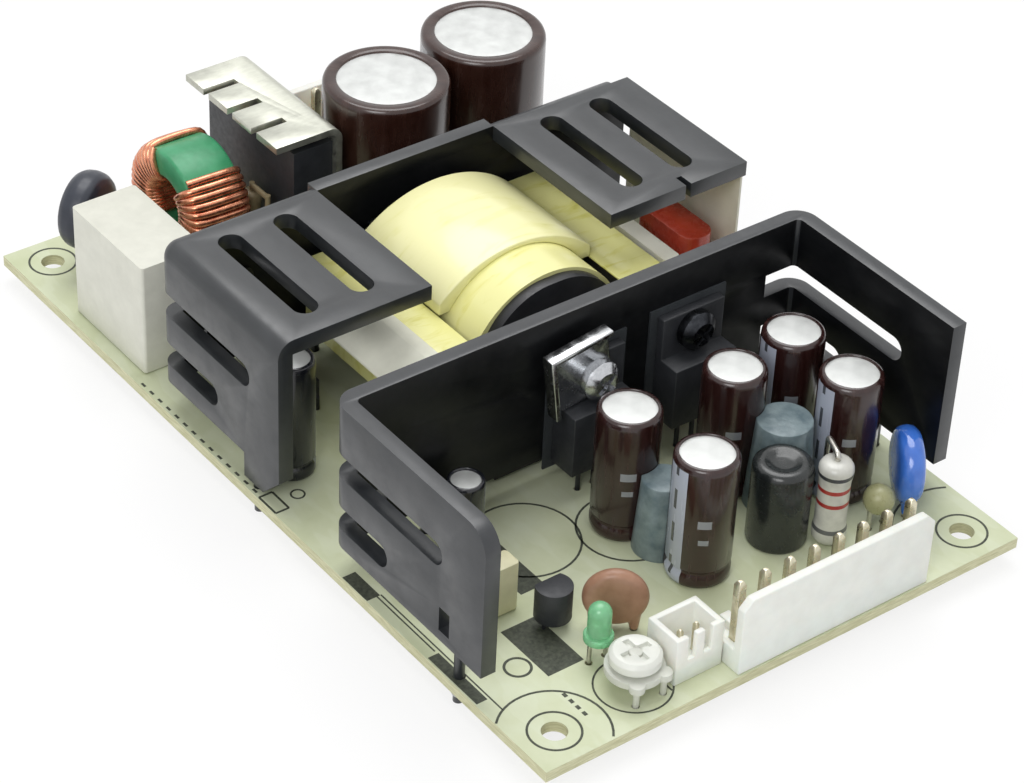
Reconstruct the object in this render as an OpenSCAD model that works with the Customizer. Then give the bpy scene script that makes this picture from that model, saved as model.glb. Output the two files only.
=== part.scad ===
// Open frame power supply: one circuit board that carries two folded black heatsinks,
// a tape wrapped transformer, an input filter, output capacitors and pin headers.
// Origin: middle of the board in plan, on the plane that the cut leads stand on.
// +X runs to the output end, +Y across the board, +Z up.

/* [Board] */
// Length of the board along X
board_l = 127; // [124:0.1:135]
// Width of the board along Y
board_w = 76.2; // [76:0.1:84]
// Thickness of the board
board_t = 1.6; // [1:0.1:2.4]
// Bore of the four mounting holes
hole_d = 3.3; // [3:0.1:4]
// Distance of each mounting hole from the two board edges beside it
hole_inset = 5.08; // [4.5:0.01:6]
// Length of the cut leads below the board
lead_out = 2.2; // [1.5:0.1:3]
// Diameter of a component lead
lead_d = 0.8; // [0.5:0.05:1]
// Radial clearance of a lead in its board hole
lead_gap = 0.1; // [0.05:0.01:0.3]
// Width of the solder ring around a lead
solder_w = 0.6; // [0.3:0.05:0.7]
// Height of a solder joint
solder_h = 1.1; // [0.6:0.05:1.4]

/* [Heatsinks] */
// Thickness of the black heatsink sheet
sheet_t = 2.2; // [1.2:0.1:2.4]
// Height of the heatsink tops above the board
sink_h = 26.6; // [25.5:0.1:32]
// Outside radius of the output heatsink's bends
bend_r = 3; // [2.6:0.1:4]
// Clearance of the heatsinks' lower edges above the board
sink_gap = 4.8; // [3:0.1:6]
// Width of the slots
slot_w = 3.5; // [2:0.1:3.8]
// Outside width of the output heatsink
out_sink_w = 75.1; // [74:0.1:76]
// Length of the output heatsink's side walls
out_sink_l = 31.8; // [28:0.1:33]
// Outside width of the input heatsink
in_sink_w = 75.5; // [74:0.1:76]
// Length of the input heatsink's top flanges
in_sink_l = 28.2; // [25:0.1:29]
// Width of the input heatsink's top flanges
flange_w = 23.3; // [20:0.1:24]
// Diameter of the solder pins under the heatsinks
foot_pin_d = 1.4; // [1:0.1:1.6]

/* [Transformer] */
// Length of the ferrite core along X
core_l = 35.2; // [32:0.1:36]
// Width of the ferrite core along Y
core_w = 38; // [36:0.1:40]
// Height of the ferrite core
core_h = 11; // [9:0.1:12]
// Thickness of the core's end walls
core_wall = 6.2; // [5:0.1:7]
// Width of the core's outer legs
core_leg = 5.4; // [4:0.1:5.6]
// Height of the winding's crown above the board
coil_top = 24.2; // [22:0.1:25]
// Width of the wrapped winding
coil_w = 24.9; // [22:0.1:25.5]
// Radius of the winding's crown
crown_r = 18; // [14:0.5:26]
// Thickness of the yellow tape
tape_t = 0.4; // [0.2:0.05:0.6]

/* [Capacitors] */
// Diameter of the two input capacitors
bulk_d = 18; // [16:0.1:18.4]
// Height of the two input capacitors
bulk_h = 26.4; // [20:0.1:30]
// Diameter of the five output capacitors
out_cap_d = 8.5; // [7:0.1:10]
// Height of the five output capacitors
out_cap_h = 18.8; // [12:0.1:22]
// Length, width and height of the interference capacitor's box
x_cap = [18, 9.9, 17.1]; // [5:0.1:20]

/* [Choke] */
// Outside diameter of the choke's ring core
ring_d = 16.4; // [14:0.1:18]
// Bore of the choke's ring core
ring_bore = 8.6; // [7:0.1:9]
// Thickness of the choke's ring core
ring_t = 8.2; // [6:0.1:8.4]
// Diameter of the choke's wire
wire_d = 1.1; // [0.8:0.05:1.2]
// Turns in each of the choke's windings
choke_turns = 12; // [8:1:13]

/* [Connectors] */
// Pitch of the output and input header pins
pin_pitch = 3.96; // [3.5:0.01:4]
// Number of output pins
out_pins = 8; // [4:1:8]
// Side of a square header pin
pin_w = 1.14; // [0.9:0.01:1.2]
// Height of the header's locking wall above the board
wall_h = 11.3; // [9:0.1:12]
// Height of the header pin tips above the board
pin_h = 12.2; // [10:0.1:14]
// Thickness of the header's base
base_h = 3.2; // [2.5:0.1:4]

/* [Trimmer] */
// Diameter of the trimmer's dial
dial_d = 6.6; // [5.5:0.1:6.8]
// Diameter of the pin that the dial turns on
dial_pin_d = 1.6; // [1.2:0.1:2]
// Radial clearance between the dial and its pin
dial_gap = 0.05; // [0.02:0.01:0.1]

/* [Hidden] */
$fn = 48;
zb = lead_out + board_t;
touch = 0.02;
zp = lead_out;

out_sink_x = 18.5;
out_sink_y = -0.55;
out_face = out_sink_x + sheet_t;
in_sink_x = -21.8;
in_sink_y = 0.15;
fold_r = sheet_t + 0.2;
slot_z = [17.5, 9.4];
in_face = in_sink_x;
sink_top = zb + sink_h;

core_at = [-1, 2.6];
core_z = zb + 6;
core_leg_d = core_h;
coil_z = core_z + core_h/2;
flange_t = 1.6;
coil_end = core_l/2 - core_wall - flange_t;

bulk_at = [[-38.2, 9.9], [-41.1, 28.8]];
bulk_pitch = 7.5;
out_cap_at = [[32.4, -2.3], [44.9, -0.1], [33.2, 14.2], [31.4, 25.6], [42.5, 25.8]];
out_cap_pitch = 3.5;
drum_at = [45.6, 12.4];
drum_d = 8;
drum_h = 12.6;
bias_at = [25, -22];
x_cap_at = [-37.3, -31.3];
ring_at = [-46.9, -17];
ring_z = zb + 11.6;
choke_sector = 118;
choke_lean = -10;
ntc_at = [-54.9, -29.0];
ntc = [11.4, 5, 5, 3.6];
ntc_a = -60;
resistor_at = [49.9, 17.5];
blue_at = [49.9, 30.3];
bead_at = [51.2, 24.6];
tan_at = [47.8, -15.8];
to92_at = [43.1, -21.7];
led_at = [51.2, -21];
film_at = [36.9, -27];
dial_at = [57.4, -20.3];
dial_z = zb + 3.9;
header_y = 6.8;
header_l = out_pins*pin_pitch - 0.6;
header_w = 6.4;
header_pin_x = board_l/2 - 3.2;
header_face = board_l/2 - 0.2;
fan_at = [57.6, header_y - header_l/2 - 4];
fan_box = [5.7, 7.4, 7];
fan_pitch = 2.5;
fan_pin_w = 0.64;
in_header_y = 13;
in_positions = 5;
in_header_pins = [0, 2, 4];
in_header_pin_x = -board_l/2 + 3.2;
bracket = [23, 10.8, 24.4];
bracket_at = [-56.8, -11.3];
bracket_t = 1;
core_right = core_at[1] + core_w/2 + tape_t;
in_right = in_sink_y + in_sink_w/2;
box_cap = [11.6, 2.6, 15.8];
small_disc = [9.6, 2, 5, 6.2];
red_cap = [12, 5, 15.5];
box_cap_at = [1.2, core_right + small_disc[1] + 0.1 + box_cap[1]/2];
blue_small_at = [3.4, core_right + 0.05 + small_disc[1]/2];
red_at = [0, (box_cap_at[1] + box_cap[1]/2 + in_right)/2 - 0.7];
opto_at = [12.9, in_right - 6.9];
ic_at = [-13.2, -25];
startup_at = [-0.6, in_sink_y - in_sink_w/2 + 6.6];
startup_d = 6.3;
startup_h = 18;
bridge_size = [21.6, 6.4, 17.6];
saddle_w = 4.4;
saddle_l = 11;
blue_disc = [10.4, 3.6, 5, 1.4];
tan_disc = [8.4, 2.4, 5, 0.9];
film_t = 0.35;

pad_t = 0.3;
tab_t = 1.3;
dev_w = 10.2;
dev_t = 4.5;
dev_h = 9.3;
dev_top = 2.9;
dev_body = 3.4;
dev_pitch = 2.54;
dev_lead_x = 2.7;
bolt_d = 2.9;
bolt_bore = 3.2;
tap_bore = bolt_d + 2*touch;
bolt_out = 0.4;
out_dev_y = [-0.2, 16.3];
out_dev_z = [16.7, 17.4];
in_dev_y = [-26, -5];
in_dev_z = 17.4;
clip_t = 0.8;

function two(at, pitch, a = 90) =
    [for (s = [-1, 1]) [at[0] + s*pitch/2*cos(a), at[1] + s*pitch/2*sin(a)]];
function row(x, y0, pitch, n) = [for (i = [0:n-1]) [x, y0 + (i - (n-1)/2)*pitch]];
function flat(list) = [for (a = list) each a];

blue_a = -32;
tan_a = 52;
ntc_leads = two(ntc_at, ntc[2], ntc_a);
x_cap_leads = two(x_cap_at, 15, 0);
choke_leads = flat([for (s = [-1, 1]) two([ring_at[0] + s*6, ring_at[1]], ring_t + 1.1)]);
bridge_at = [bracket_at[0] + bracket[0]/2 - 0.2,
    bracket_at[1] + bracket[1] - bracket_t - bridge_size[1]/2];
bridge_leads = [for (i = [-1.5:1:1.5]) [bridge_at[0] + i*5, bridge_at[1]]];
fuse_leads = [[-42.4, -9.8], [-38.4, -9.8]];
film_leads = two(film_at, 5);
led_leads = two(led_at, 2.54);
to92_leads = row(to92_at[0], to92_at[1], 1.27, 3);
tan_leads = two(tan_at, tan_disc[2], tan_a);
blue_leads = two(blue_at, blue_disc[2], blue_a);
bead_leads = two(bead_at, 2.54);
resistor_leads = [resistor_at, [resistor_at[0] - 3.6, resistor_at[1] + 1.6]];
drum_leads = two(drum_at, 4);
bias_leads = two(bias_at, 2.5);
trimmer_leads = [[dial_at[0] + 3.1, dial_at[1] - 2.1], [dial_at[0] + 3.1, dial_at[1] + 2.1],
    [dial_at[0] - 3.1, dial_at[1]]];
box_cap_leads = two(box_cap_at, 10, 0);
blue_small_leads = two(blue_small_at, small_disc[2], 0);
startup_leads = two(startup_at, 2.5);
red_leads = two(red_at, 10, 0);
opto_leads = flat([for (s = [-1, 1]) two([opto_at[0] + s*3.81, opto_at[1]], 2.54)]);
ic_leads = flat([for (s = [-1, 1]) row(ic_at[0] + s*3.81, ic_at[1], 2.54, 4)]);
bulk_leads = flat([for (at = bulk_at) two(at, bulk_pitch)]);
out_cap_leads = flat([for (at = out_cap_at) two(at, out_cap_pitch)]);
out_dev_x = out_face + pad_t + dev_lead_x;
in_dev_x = in_face - pad_t - dev_lead_x;
out_dev_leads = flat([for (y = out_dev_y) row(out_dev_x, y, dev_pitch, 3)]);
in_dev_leads = flat([for (y = in_dev_y) row(in_dev_x, y, dev_pitch, 3)]);
dev_leads = concat(out_dev_leads, in_dev_leads);
lead_list = concat(ntc_leads, x_cap_leads, choke_leads, bridge_leads, fuse_leads, film_leads,
    led_leads, to92_leads, tan_leads, blue_leads, bead_leads, resistor_leads, drum_leads,
    bias_leads, trimmer_leads, box_cap_leads, blue_small_leads, red_leads, opto_leads, ic_leads,
    bulk_leads, out_cap_leads, dev_leads, startup_leads);

rail_x = core_l/2 - 2.4;
xf_pin_d = 1;
xf_pins = flat([for (s = [-1, 1]) row(core_at[0] + s*rail_x, core_at[1], 4.4, 6)]);
out_sink_feet = [[out_sink_x + sheet_t/2, -24], [out_sink_x + sheet_t/2, 31],
    [out_sink_x + out_sink_l - 6, out_sink_y - out_sink_w/2 + sheet_t/2 + 0.3],
    [out_sink_x + out_sink_l - 12, out_sink_y + out_sink_w/2 - sheet_t/2]];
in_sink_feet = [[in_sink_x + sheet_t/2, -14], [in_sink_x + sheet_t/2, 30],
    [in_sink_x + 22, in_sink_y - in_sink_w/2 + sheet_t/2]];
bracket_feet = [for (s = [3, bracket[0] - 3])
    [bracket_at[0] + s, bracket_at[1] + bracket[1] - bracket_t/2]];
foot_list = concat(out_sink_feet, in_sink_feet);
out_pin_list = row(header_pin_x, header_y, pin_pitch, out_pins);
in_pin_row = row(in_header_pin_x, in_header_y, pin_pitch, in_positions);
in_pin_list = [for (i = in_header_pins) in_pin_row[i]];
fan_pin_list = row(fan_at[0] + 0.4, fan_at[1], fan_pitch, 2);

// ---- shared shapes ----

// Upright block on z = 0 with round vertical edges
module round_block(size, r) {
    for (s = [-1, 1]) {
        translate([-size[0]/2 + (s + 1)/2*r, -size[1]/2 + (1 - s)/2*r, 0])
            cube([size[0] - (s + 1)*r, size[1] - (1 - s)*r, size[2]]);
        for (u = [-1, 1])
            translate([s*(size[0]/2 - r), u*(size[1]/2 - r), 0])
                cylinder(r = r, h = size[2]);
    }
}

// Straight lead from its cut end up to a given height above the board
module lead(at, up = 0.5, d = lead_d) {
    translate([at[0], at[1], 0])
        cylinder(d = d, h = zb + up, $fn = 24);
}

module leads(list, up = 0.5, d = lead_d) {
    for (at = list) lead(at, up, d);
}

// Square header pin with a bevelled tip, standing on its own cut end
module square_pin(at, w, top) {
    bevel = w/4;
    side = [[-w/2, 0], [w/2, 0], [w/2, top - 2*bevel], [w/2 - bevel, top],
        [bevel - w/2, top], [-w/2, top - 2*bevel]];
    translate([at[0], at[1], 0])
        intersection() {
            rotate([90, 0, 0]) linear_extrude(w, center = true) polygon(side);
            rotate([90, 0, 90]) linear_extrude(w, center = true) polygon(side);
        }
}

// Long hole with round ends along X, cut through in Y
module slot_x(x0, x1, z, w, through) {
    translate([x0 + w/2, 0, z - w/2]) translate([0, -through/2, 0])
        cube([x1 - x0 - w, through, w]);
    for (x = [x0 + w/2, x1 - w/2])
        translate([x, 0, z]) rotate([90, 0, 0]) cylinder(d = w, h = through, center = true);
}

// Radial electrolytic can: crimp above the foot, rolled shoulder, sunk metal lid
module can(d, h, lid = 0.78) {
    r = d/2;
    roll = min(0.7, r/6);
    crimp = 2.2;
    rotate_extrude($fn = 72)
        polygon([[0, 0], [r - roll, 0], [r, roll], [r, crimp - roll], [r - roll/2, crimp],
            [r, crimp + roll], [r, h - roll], [r - roll*0.3, h - roll*0.3], [r - roll, h],
            [r*lid, h], [r*lid, h - 0.3], [0, h - 0.3]]);
}

module electrolytic(at, pitch, d, h) {
    translate([at[0], at[1], zb]) can(d, h);
    leads(two(at, pitch), 0.3);
}

// Dipped disc standing on edge in the XZ plane, centred on its middle
module disc(d, t) {
    rotate([90, 0, 0]) {
        cylinder(d = d - t, h = t, center = true);
        rotate_extrude() translate([d/2 - t/2, 0]) circle(d = t);
    }
}

// size = diameter, thickness, lead pitch, lift above the board
module dipped_disc(at, a, size) {
    middle = size[3] + size[0]/2;
    translate([at[0], at[1], zb + middle]) rotate([0, 0, a]) disc(size[0], size[1]);
    leads(two(at, size[2], a), middle);
}

// Tab package with its tab flat on the plane x = 0, tab bore at the origin
module tab_package(z_bore) {
    difference() {
        union() {
            translate([0, -dev_w/2, -dev_body]) cube([tab_t, dev_w, dev_body + dev_top]);
            translate([0, -dev_w/2, -dev_body - dev_h]) cube([dev_t, dev_w, dev_h]);
        }
        rotate([0, 90, 0]) cylinder(d = bolt_bore + 0.4, h = 10, center = true);
        translate([dev_t, -dev_w, -dev_body]) rotate([0, 40, 0])
            translate([-2, 0, 0]) cube([4, 2*dev_w, 3]);
    }
    for (y = row(0, 0, dev_pitch, 3))
        translate([dev_lead_x - 0.25, y[1] - 0.3, -z_bore - zb])
            cube([0.5, 0.6, z_bore + zb - dev_body - dev_h + 0.2]);
}

// Pan head screw along +X, head seat at the origin, shank reaching back through -X
module pan_screw(grip) {
    head_d = 5.6;
    head_h = 2.2;
    difference() {
        union() {
            rotate([0, 90, 0]) cylinder(d = head_d, h = head_h*0.55);
            translate([head_h*0.55, 0, 0]) rotate([0, 90, 0])
                cylinder(d1 = head_d, d2 = head_d*0.6, h = head_h*0.45);
        }
        for (a = [45, 135]) rotate([a, 0, 0])
            translate([head_h*0.45, -0.35, -1.6]) cube([head_h, 0.7, 3.2]);
    }
    translate([-grip, 0, 0]) rotate([0, 90, 0]) cylinder(d = bolt_d, h = grip + 0.1);
}

// ---- board ----

module circuit_board() {
    color([0.80, 0.84, 0.70]) difference() {
        translate([-board_l/2, -board_w/2, zp]) cube([board_l, board_w, board_t]);
        for (sx = [-1, 1], sy = [-1, 1])
            translate([sx*(board_l/2 - hole_inset), sy*(board_w/2 - hole_inset), zp - 1])
                cylinder(d = hole_d, h = board_t + 2);
        board_holes(lead_list, lead_d + 2*lead_gap);
        board_holes(xf_pins, xf_pin_d + 2*lead_gap);
        board_holes(foot_list, foot_pin_d + 2*lead_gap);
        board_holes(bracket_feet, bracket_t + 2*lead_gap);
        board_holes(concat(out_pin_list, in_pin_list), pin_w*sqrt(2) + 2*lead_gap);
        board_holes(fan_pin_list, fan_pin_w*sqrt(2) + 2*lead_gap);
    }
}

module board_holes(list, d) {
    for (at = list)
        translate([at[0], at[1], zp - 1]) cylinder(d = d, h = board_t + 2, $fn = 24);
}

module solder_joints() {
    color([0.75, 0.76, 0.78]) {
        joints(lead_list, lead_d);
        joints(xf_pins, xf_pin_d);
        joints(foot_list, foot_pin_d);
        joints(bracket_feet, bracket_t);
        joints(concat(out_pin_list, in_pin_list), pin_w*sqrt(2));
        joints(fan_pin_list, fan_pin_w*sqrt(2));
    }
}

module joints(list, d) {
    ring = min(solder_w, 0.55);
    for (at = list)
        translate([at[0], at[1], zp - solder_h]) difference() {
            cylinder(r1 = d/2 + 0.15, r2 = d/2 + ring, h = solder_h, $fn = 24);
            translate([0, 0, -1]) cylinder(d = d + 2*touch, h = solder_h + 2, $fn = 24);
        }
}

// ---- heatsinks ----

// Plan of a U that opens to +X, outside corner radius r
module u_plan(l, w, r) {
    translate([r, -w/2]) square([l - r, w]);
    translate([0, -w/2 + r]) square([l, w - 2*r]);
    for (s = [-1, 1]) translate([r, s*(w/2 - r)]) circle(r = r);
}

module foot(at) {
    lead(at, sink_gap + 0.8, foot_pin_d);
}

module output_heatsink() {
    r_in = bend_r - sheet_t;
    left = -out_sink_w/2;
    corner = 3.6;
    color([0.20, 0.21, 0.23]) {
        translate([out_sink_x, out_sink_y, 0]) difference() {
            translate([0, 0, zb + sink_gap]) linear_extrude(sink_h - sink_gap) difference() {
                u_plan(out_sink_l, out_sink_w, bend_r);
                translate([sheet_t, 0]) u_plan(out_sink_l, out_sink_w - 2*sheet_t, r_in);
            }
            // slots that wrap the bends, two on each side wall
            translate([0, left + sheet_t/2, zb]) {
                slot_x(-5, 23.5, slot_z[0], slot_w, bend_r*4);
                slot_x(-5, 12.4, slot_z[1], slot_w, bend_r*4);
                // narrow window near the front edge
                translate([23.2, -sheet_t, 6.3]) cube([2.1, 2*sheet_t, 3.6]);
            }
            translate([0, -left - sheet_t/2, zb]) {
                slot_x(-5, 23.5, slot_z[0], slot_w, bend_r*4);
                slot_x(-5, 12.8, slot_z[1], slot_w, bend_r*4);
            }
            // round front top corner of the left wall
            translate([out_sink_l - corner, left - 1, sink_top - corner]) difference() {
                cube([corner + 1, sheet_t + 2, corner + 1]);
                rotate([-90, 0, 0]) translate([0, 0, -1]) cylinder(r = corner, h = sheet_t + 4);
            }
            for (i = [0:1])
                translate([0, out_dev_y[i] - out_sink_y, zb + out_dev_z[i]])
                    rotate([0, 90, 0]) cylinder(d = tap_bore, h = 3*sheet_t, center = true);
        }
        for (at = out_sink_feet) foot(at);
    }
}

// Corner block with the edges x = 0, y = 0 and z = h rounded, for the input heatsink
module bent_block(l, w, h, r) {
    translate([r, r, 0]) cube([l - r, w - r, h]);
    translate([r, 0, 0]) cube([l - r, r, h - r]);
    translate([0, r, 0]) cube([r, w - r, h - r]);
    translate([r, r, 0]) cylinder(r = r, h = h - r);
    translate([r, r, h - r]) rotate([0, 90, 0]) cylinder(r = r, h = l - r);
    translate([r, r, h - r]) rotate([-90, 0, 0]) cylinder(r = r, h = w - r);
    translate([r, r, h - r]) sphere(r = r);
}

module input_heatsink() {
    h = sink_h - sink_gap;
    mid_w = in_sink_w - 2*flange_w;
    leg_l = 8.1;
    leg_low = 1;
    leg_cut = 3.8;
    back_step = 2.2;
    color([0.22, 0.23, 0.25]) {
        translate([in_sink_x, in_sink_y - in_sink_w/2, zb + sink_gap]) difference() {
            union() {
                difference() {
                    bent_block(in_sink_l, in_sink_w, h, fold_r);
                    translate([sheet_t, sheet_t, -1])
                        cube([in_sink_l, in_sink_w, h + 1 - sheet_t]);
                    translate([-1, flange_w, h - fold_r - 1])
                        cube([in_sink_l + 2, mid_w, fold_r + 2]);
                }
                translate([0, flange_w, h - fold_r - 1]) cube([sheet_t, mid_w, fold_r + 1]);
            }
            // two slots in the side wall, round the bend
            translate([0, sheet_t/2, -sink_gap]) {
                slot_x(-5, 21.6, slot_z[0] - 0.2, slot_w, fold_r*4);
                slot_x(-5, 14, slot_z[1], slot_w, fold_r*4);
            }
            // four slots in the top flanges
            for (y = [7.5, 16, in_sink_w - 16, in_sink_w - 7.5])
                translate([0, y, h]) rotate([90, 0, 0])
                    slot_x(4.3, 24.6, 0, slot_w, 3*sheet_t);
            // step at the end of the right bend, and the nick in the front edge
            translate([-1, in_sink_w - 2.9, h - fold_r]) cube([back_step + 1, 5, fold_r + 1]);
            translate([in_sink_l - 2.2, in_sink_w - 10.6, h - sheet_t - 1])
                cube([3, 0.9, sheet_t + 2]);
            for (y = in_dev_y)
                translate([0, y - in_sink_y + in_sink_w/2, in_dev_z - sink_gap])
                    rotate([0, 90, 0]) cylinder(d = tap_bore, h = 3*sheet_t, center = true);
        }
        // leg at the front of the side wall, its front corner cut away
        translate([in_sink_x + in_sink_l - leg_l, in_sink_y - in_sink_w/2, zb])
            rotate([90, 0, 0]) mirror([0, 0, 1]) linear_extrude(sheet_t)
                polygon([[0, leg_low], [leg_l - leg_cut, leg_low], [leg_l, leg_low + leg_cut],
                    [leg_l, sink_gap + 1], [0, sink_gap + 1]]);
        for (at = in_sink_feet) foot(at);
    }
}

module bridge_heatsink() {
    slot_l = 5;
    notch = 1.3;
    color([0.82, 0.82, 0.80]) {
        translate([bracket_at[0], bracket_at[1], zb]) difference() {
            union() {
                translate([0, 0, bracket[2] - bracket_t])
                    cube([bracket[0], bracket[1] - 2, bracket_t]);
                translate([0, bracket[1] - bracket_t, 0.6])
                    cube([bracket[0], bracket_t, bracket[2] - 2.6]);
                translate([0, bracket[1] - 2, bracket[2] - 2]) rotate([0, 90, 0]) difference() {
                    cylinder(r = 2, h = bracket[0]);
                    translate([0, 0, -1]) cylinder(r = 2 - bracket_t, h = bracket[0] + 2);
                    translate([0, -3, -1]) cube([3, 6, bracket[0] + 2]);
                    translate([-3, -3, -1]) cube([6, 3, bracket[0] + 2]);
                }
            }
            for (i = [0:2])
                translate([4.6 + i*6.05, -1, bracket[2] - 2*bracket_t])
                    cube([notch, slot_l + 1, 3*bracket_t]);
        }
        for (at = bracket_feet) lead(at, 1.6, bracket_t);
    }
}

// ---- devices on the heatsinks ----

module output_device(i) {
    translate([out_face + pad_t, out_dev_y[i], zb + out_dev_z[i]]) tab_package(out_dev_z[i]);
}

module input_device(i) {
    translate([in_face - pad_t, in_dev_y[i], zb + in_dev_z]) rotate([0, 0, 180])
        tab_package(in_dev_z);
}

module output_rectifier() {
    color([0.12, 0.12, 0.13]) output_device(0);
}

module second_rectifier() {
    color([0.12, 0.12, 0.13]) output_device(1);
}

module primary_switch_a() {
    color([0.12, 0.12, 0.13]) input_device(0);
}

module primary_switch_b() {
    color([0.12, 0.12, 0.13]) input_device(1);
}

// Plated clamp plate over the first rectifier's tab, with folded top and left edges
module rectifier_clip() {
    w = 9.8;
    up = 7.2;
    down = dev_body - 0.8;
    lip = 2;
    lean = 8;
    color([0.80, 0.80, 0.80])
        translate([out_face + pad_t + tab_t, out_dev_y[0], zb + out_dev_z[0]])
            rotate([lean, 0, 0]) difference() {
                union() {
                    translate([0, -w/2 - 2.6, -down]) cube([clip_t, w, up + down]);
                    translate([0, -w/2 - 2.6, -down]) cube([lip, clip_t, up + down]);
                    translate([0, -w/2 - 2.6, up - clip_t]) cube([lip, w, clip_t]);
                }
                rotate([0, 90, 0]) cylinder(d = bolt_bore, h = 10, center = true);
            }
}

module device_pads() {
    color([0.62, 0.65, 0.68]) {
        for (i = [0:1])
            translate([out_face, out_dev_y[i], zb + out_dev_z[i]]) pad();
        for (y = in_dev_y)
            translate([in_face - pad_t, y, zb + in_dev_z]) pad();
    }
}

module pad() {
    side = dev_w + 2.4;
    difference() {
        translate([0, -side/2, -dev_body - dev_h - 1])
            cube([pad_t, side, dev_body + dev_h + dev_top + 2]);
        rotate([0, 90, 0]) cylinder(d = bolt_bore, h = 3, center = true);
    }
}

module heatsink_screws() {
    grip = sheet_t + pad_t + tab_t + bolt_out;
    color([0.72, 0.72, 0.74]) {
        translate([out_face + pad_t + tab_t + clip_t, out_dev_y[0], zb + out_dev_z[0]])
            pan_screw(grip + clip_t);
        translate([out_face + pad_t + tab_t, out_dev_y[1], zb + out_dev_z[1]])
            pan_screw(grip);
        for (y = in_dev_y)
            translate([in_face - pad_t - tab_t, y, zb + in_dev_z]) rotate([0, 0, 180])
                pan_screw(grip);
    }
}

// ---- transformer ----

// One half of the core: end wall, two outer legs and a round middle leg
module core_half() {
    translate([core_l/2 - core_wall, -core_w/2, -core_h/2]) cube([core_wall, core_w, core_h]);
    for (s = [-1, 1])
        translate([0, s*(core_w - core_leg)/2 - core_leg/2, -core_h/2])
            cube([core_l/2, core_leg, core_h]);
    rotate([0, 90, 0]) cylinder(d = core_leg_d, h = core_l/2);
}

module transformer_core_a() {
    color([0.17, 0.17, 0.18]) translate([core_at[0], core_at[1], coil_z]) core_half();
}

module transformer_core_b() {
    color([0.17, 0.17, 0.18]) translate([core_at[0], core_at[1], coil_z])
        rotate([0, 0, 180]) core_half();
}

tube_bore = core_leg_d + 0.2;
tube_d = tube_bore + 2;

// End plate outline in the YZ plane, round at its upper corners
module end_plate() {
    w = coil_w - 3;
    top = coil_top - 1.4 - coil_z + zb;
    low = 9;
    r = 10.2;
    rotate([90, 0, 90]) linear_extrude(flange_t) difference() {
        union() {
            translate([-w/2, -low]) square([w, low + top - r]);
            translate([-w/2 + r, -low]) square([w - 2*r, low + top]);
            for (s = [-1, 1]) translate([s*(w/2 - r), top - r]) circle(r = r);
        }
        circle(d = tube_bore);
    }
}

module transformer_bobbin() {
    rail_h = core_z - zb - 0.4;
    rail_l = core_wall + flange_t;
    color([0.13, 0.13, 0.14]) {
        translate([core_at[0], core_at[1], coil_z]) {
            difference() {
                rotate([0, 90, 0]) cylinder(d = tube_d, h = 2*coil_end + 0.2, center = true);
                rotate([0, 90, 0]) cylinder(d = tube_bore, h = core_l, center = true);
            }
            translate([coil_end, 0, 0]) end_plate();
            mirror([1, 0, 0]) translate([coil_end, 0, 0]) end_plate();
        }
        for (s = [-1, 1])
            translate([core_at[0] + s*(coil_end + rail_l/2) - rail_l/2,
                core_at[1] - coil_w/2 - 1, zb + 0.3])
                cube([rail_l, coil_w + 2, rail_h]);
        leads(xf_pins, 0.6, xf_pin_d);
    }
}

// Section of the wound coil in the YZ plane: round crown, straight sides
module coil_plan(w, top, r) {
    half = w/2;
    drop = r - sqrt(r*r - half*half);
    intersection() {
        translate([-half, -9.6]) square([w, 9.6 + top]);
        union() {
            translate([0, top - r]) circle(r = r, $fn = 96);
            translate([-half, -9.6]) square([w, 9.6 + top - drop - 1]);
        }
    }
}

module transformer_winding() {
    w = coil_w - 2*tape_t - 2*touch;
    crown = coil_top - coil_z + zb - 2*tape_t;
    color([0.86, 0.84, 0.45])
        translate([core_at[0] - coil_end + touch, core_at[1], coil_z])
            rotate([90, 0, 90]) linear_extrude(2*coil_end - 2*touch) difference() {
                coil_plan(w, crown, w/2 + 0.6);
                circle(d = tube_d + 2*touch);
            }
}

// Outer wrap over the winding, from the left leg over the crown to the right leg
module transformer_tape() {
    back = -core_l/2 + 2.2;
    wrap_l = 18.5;
    inner = coil_w - 2*tape_t;
    crown = coil_top - coil_z + zb;
    color([0.93, 0.91, 0.52])
        translate([core_at[0] + back, core_at[1], coil_z]) rotate([90, 0, 90])
            linear_extrude(wrap_l) difference() {
                coil_plan(coil_w, crown, crown_r);
                coil_plan(inner, crown - 2*tape_t + touch, inner/2 + 0.6);
                translate([-core_w/2, -20]) square([core_w, 20 + core_h/2 + tape_t + touch]);
            }
}

// Tape over the tops and outer sides of both legs
module core_tape() {
    inner = coil_w/2 + touch;
    color([0.90, 0.88, 0.48])
        for (s = [0, 1])
            translate([core_at[0], core_at[1], coil_z]) mirror([0, s, 0]) {
                translate([-core_l/2, inner, core_h/2])
                    cube([core_l, core_w/2 + tape_t - inner, tape_t]);
                translate([-core_l/2, core_w/2, -core_h/2])
                    cube([core_l, tape_t, core_h + tape_t]);
            }
}

// Label flap: flat on the left leg's tape, then leaning down past the leg
module transformer_label() {
    flap_l = 20;
    overlap = 2;
    reach = 5;
    drop = 2.9;
    t = 0.3;
    color([0.93, 0.93, 0.88])
        translate([core_at[0] - 4, core_at[1] - core_w/2 - tape_t,
            coil_z + core_h/2 + tape_t + touch])
            rotate([90, 0, 90]) linear_extrude(flap_l)
                polygon([[overlap, 0], [overlap, t], [0, t], [-reach, t - drop],
                    [-reach - 0.1, -drop], [-touch, 0]]);
}

// ---- capacitors ----

module bulk_capacitor(i) {
    color([0.27, 0.18, 0.14]) electrolytic(bulk_at[i], bulk_pitch, bulk_d, bulk_h);
}

module output_capacitor(i) {
    color([0.25, 0.15, 0.12]) electrolytic(out_cap_at[i], out_cap_pitch, out_cap_d, out_cap_h);
}

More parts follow.
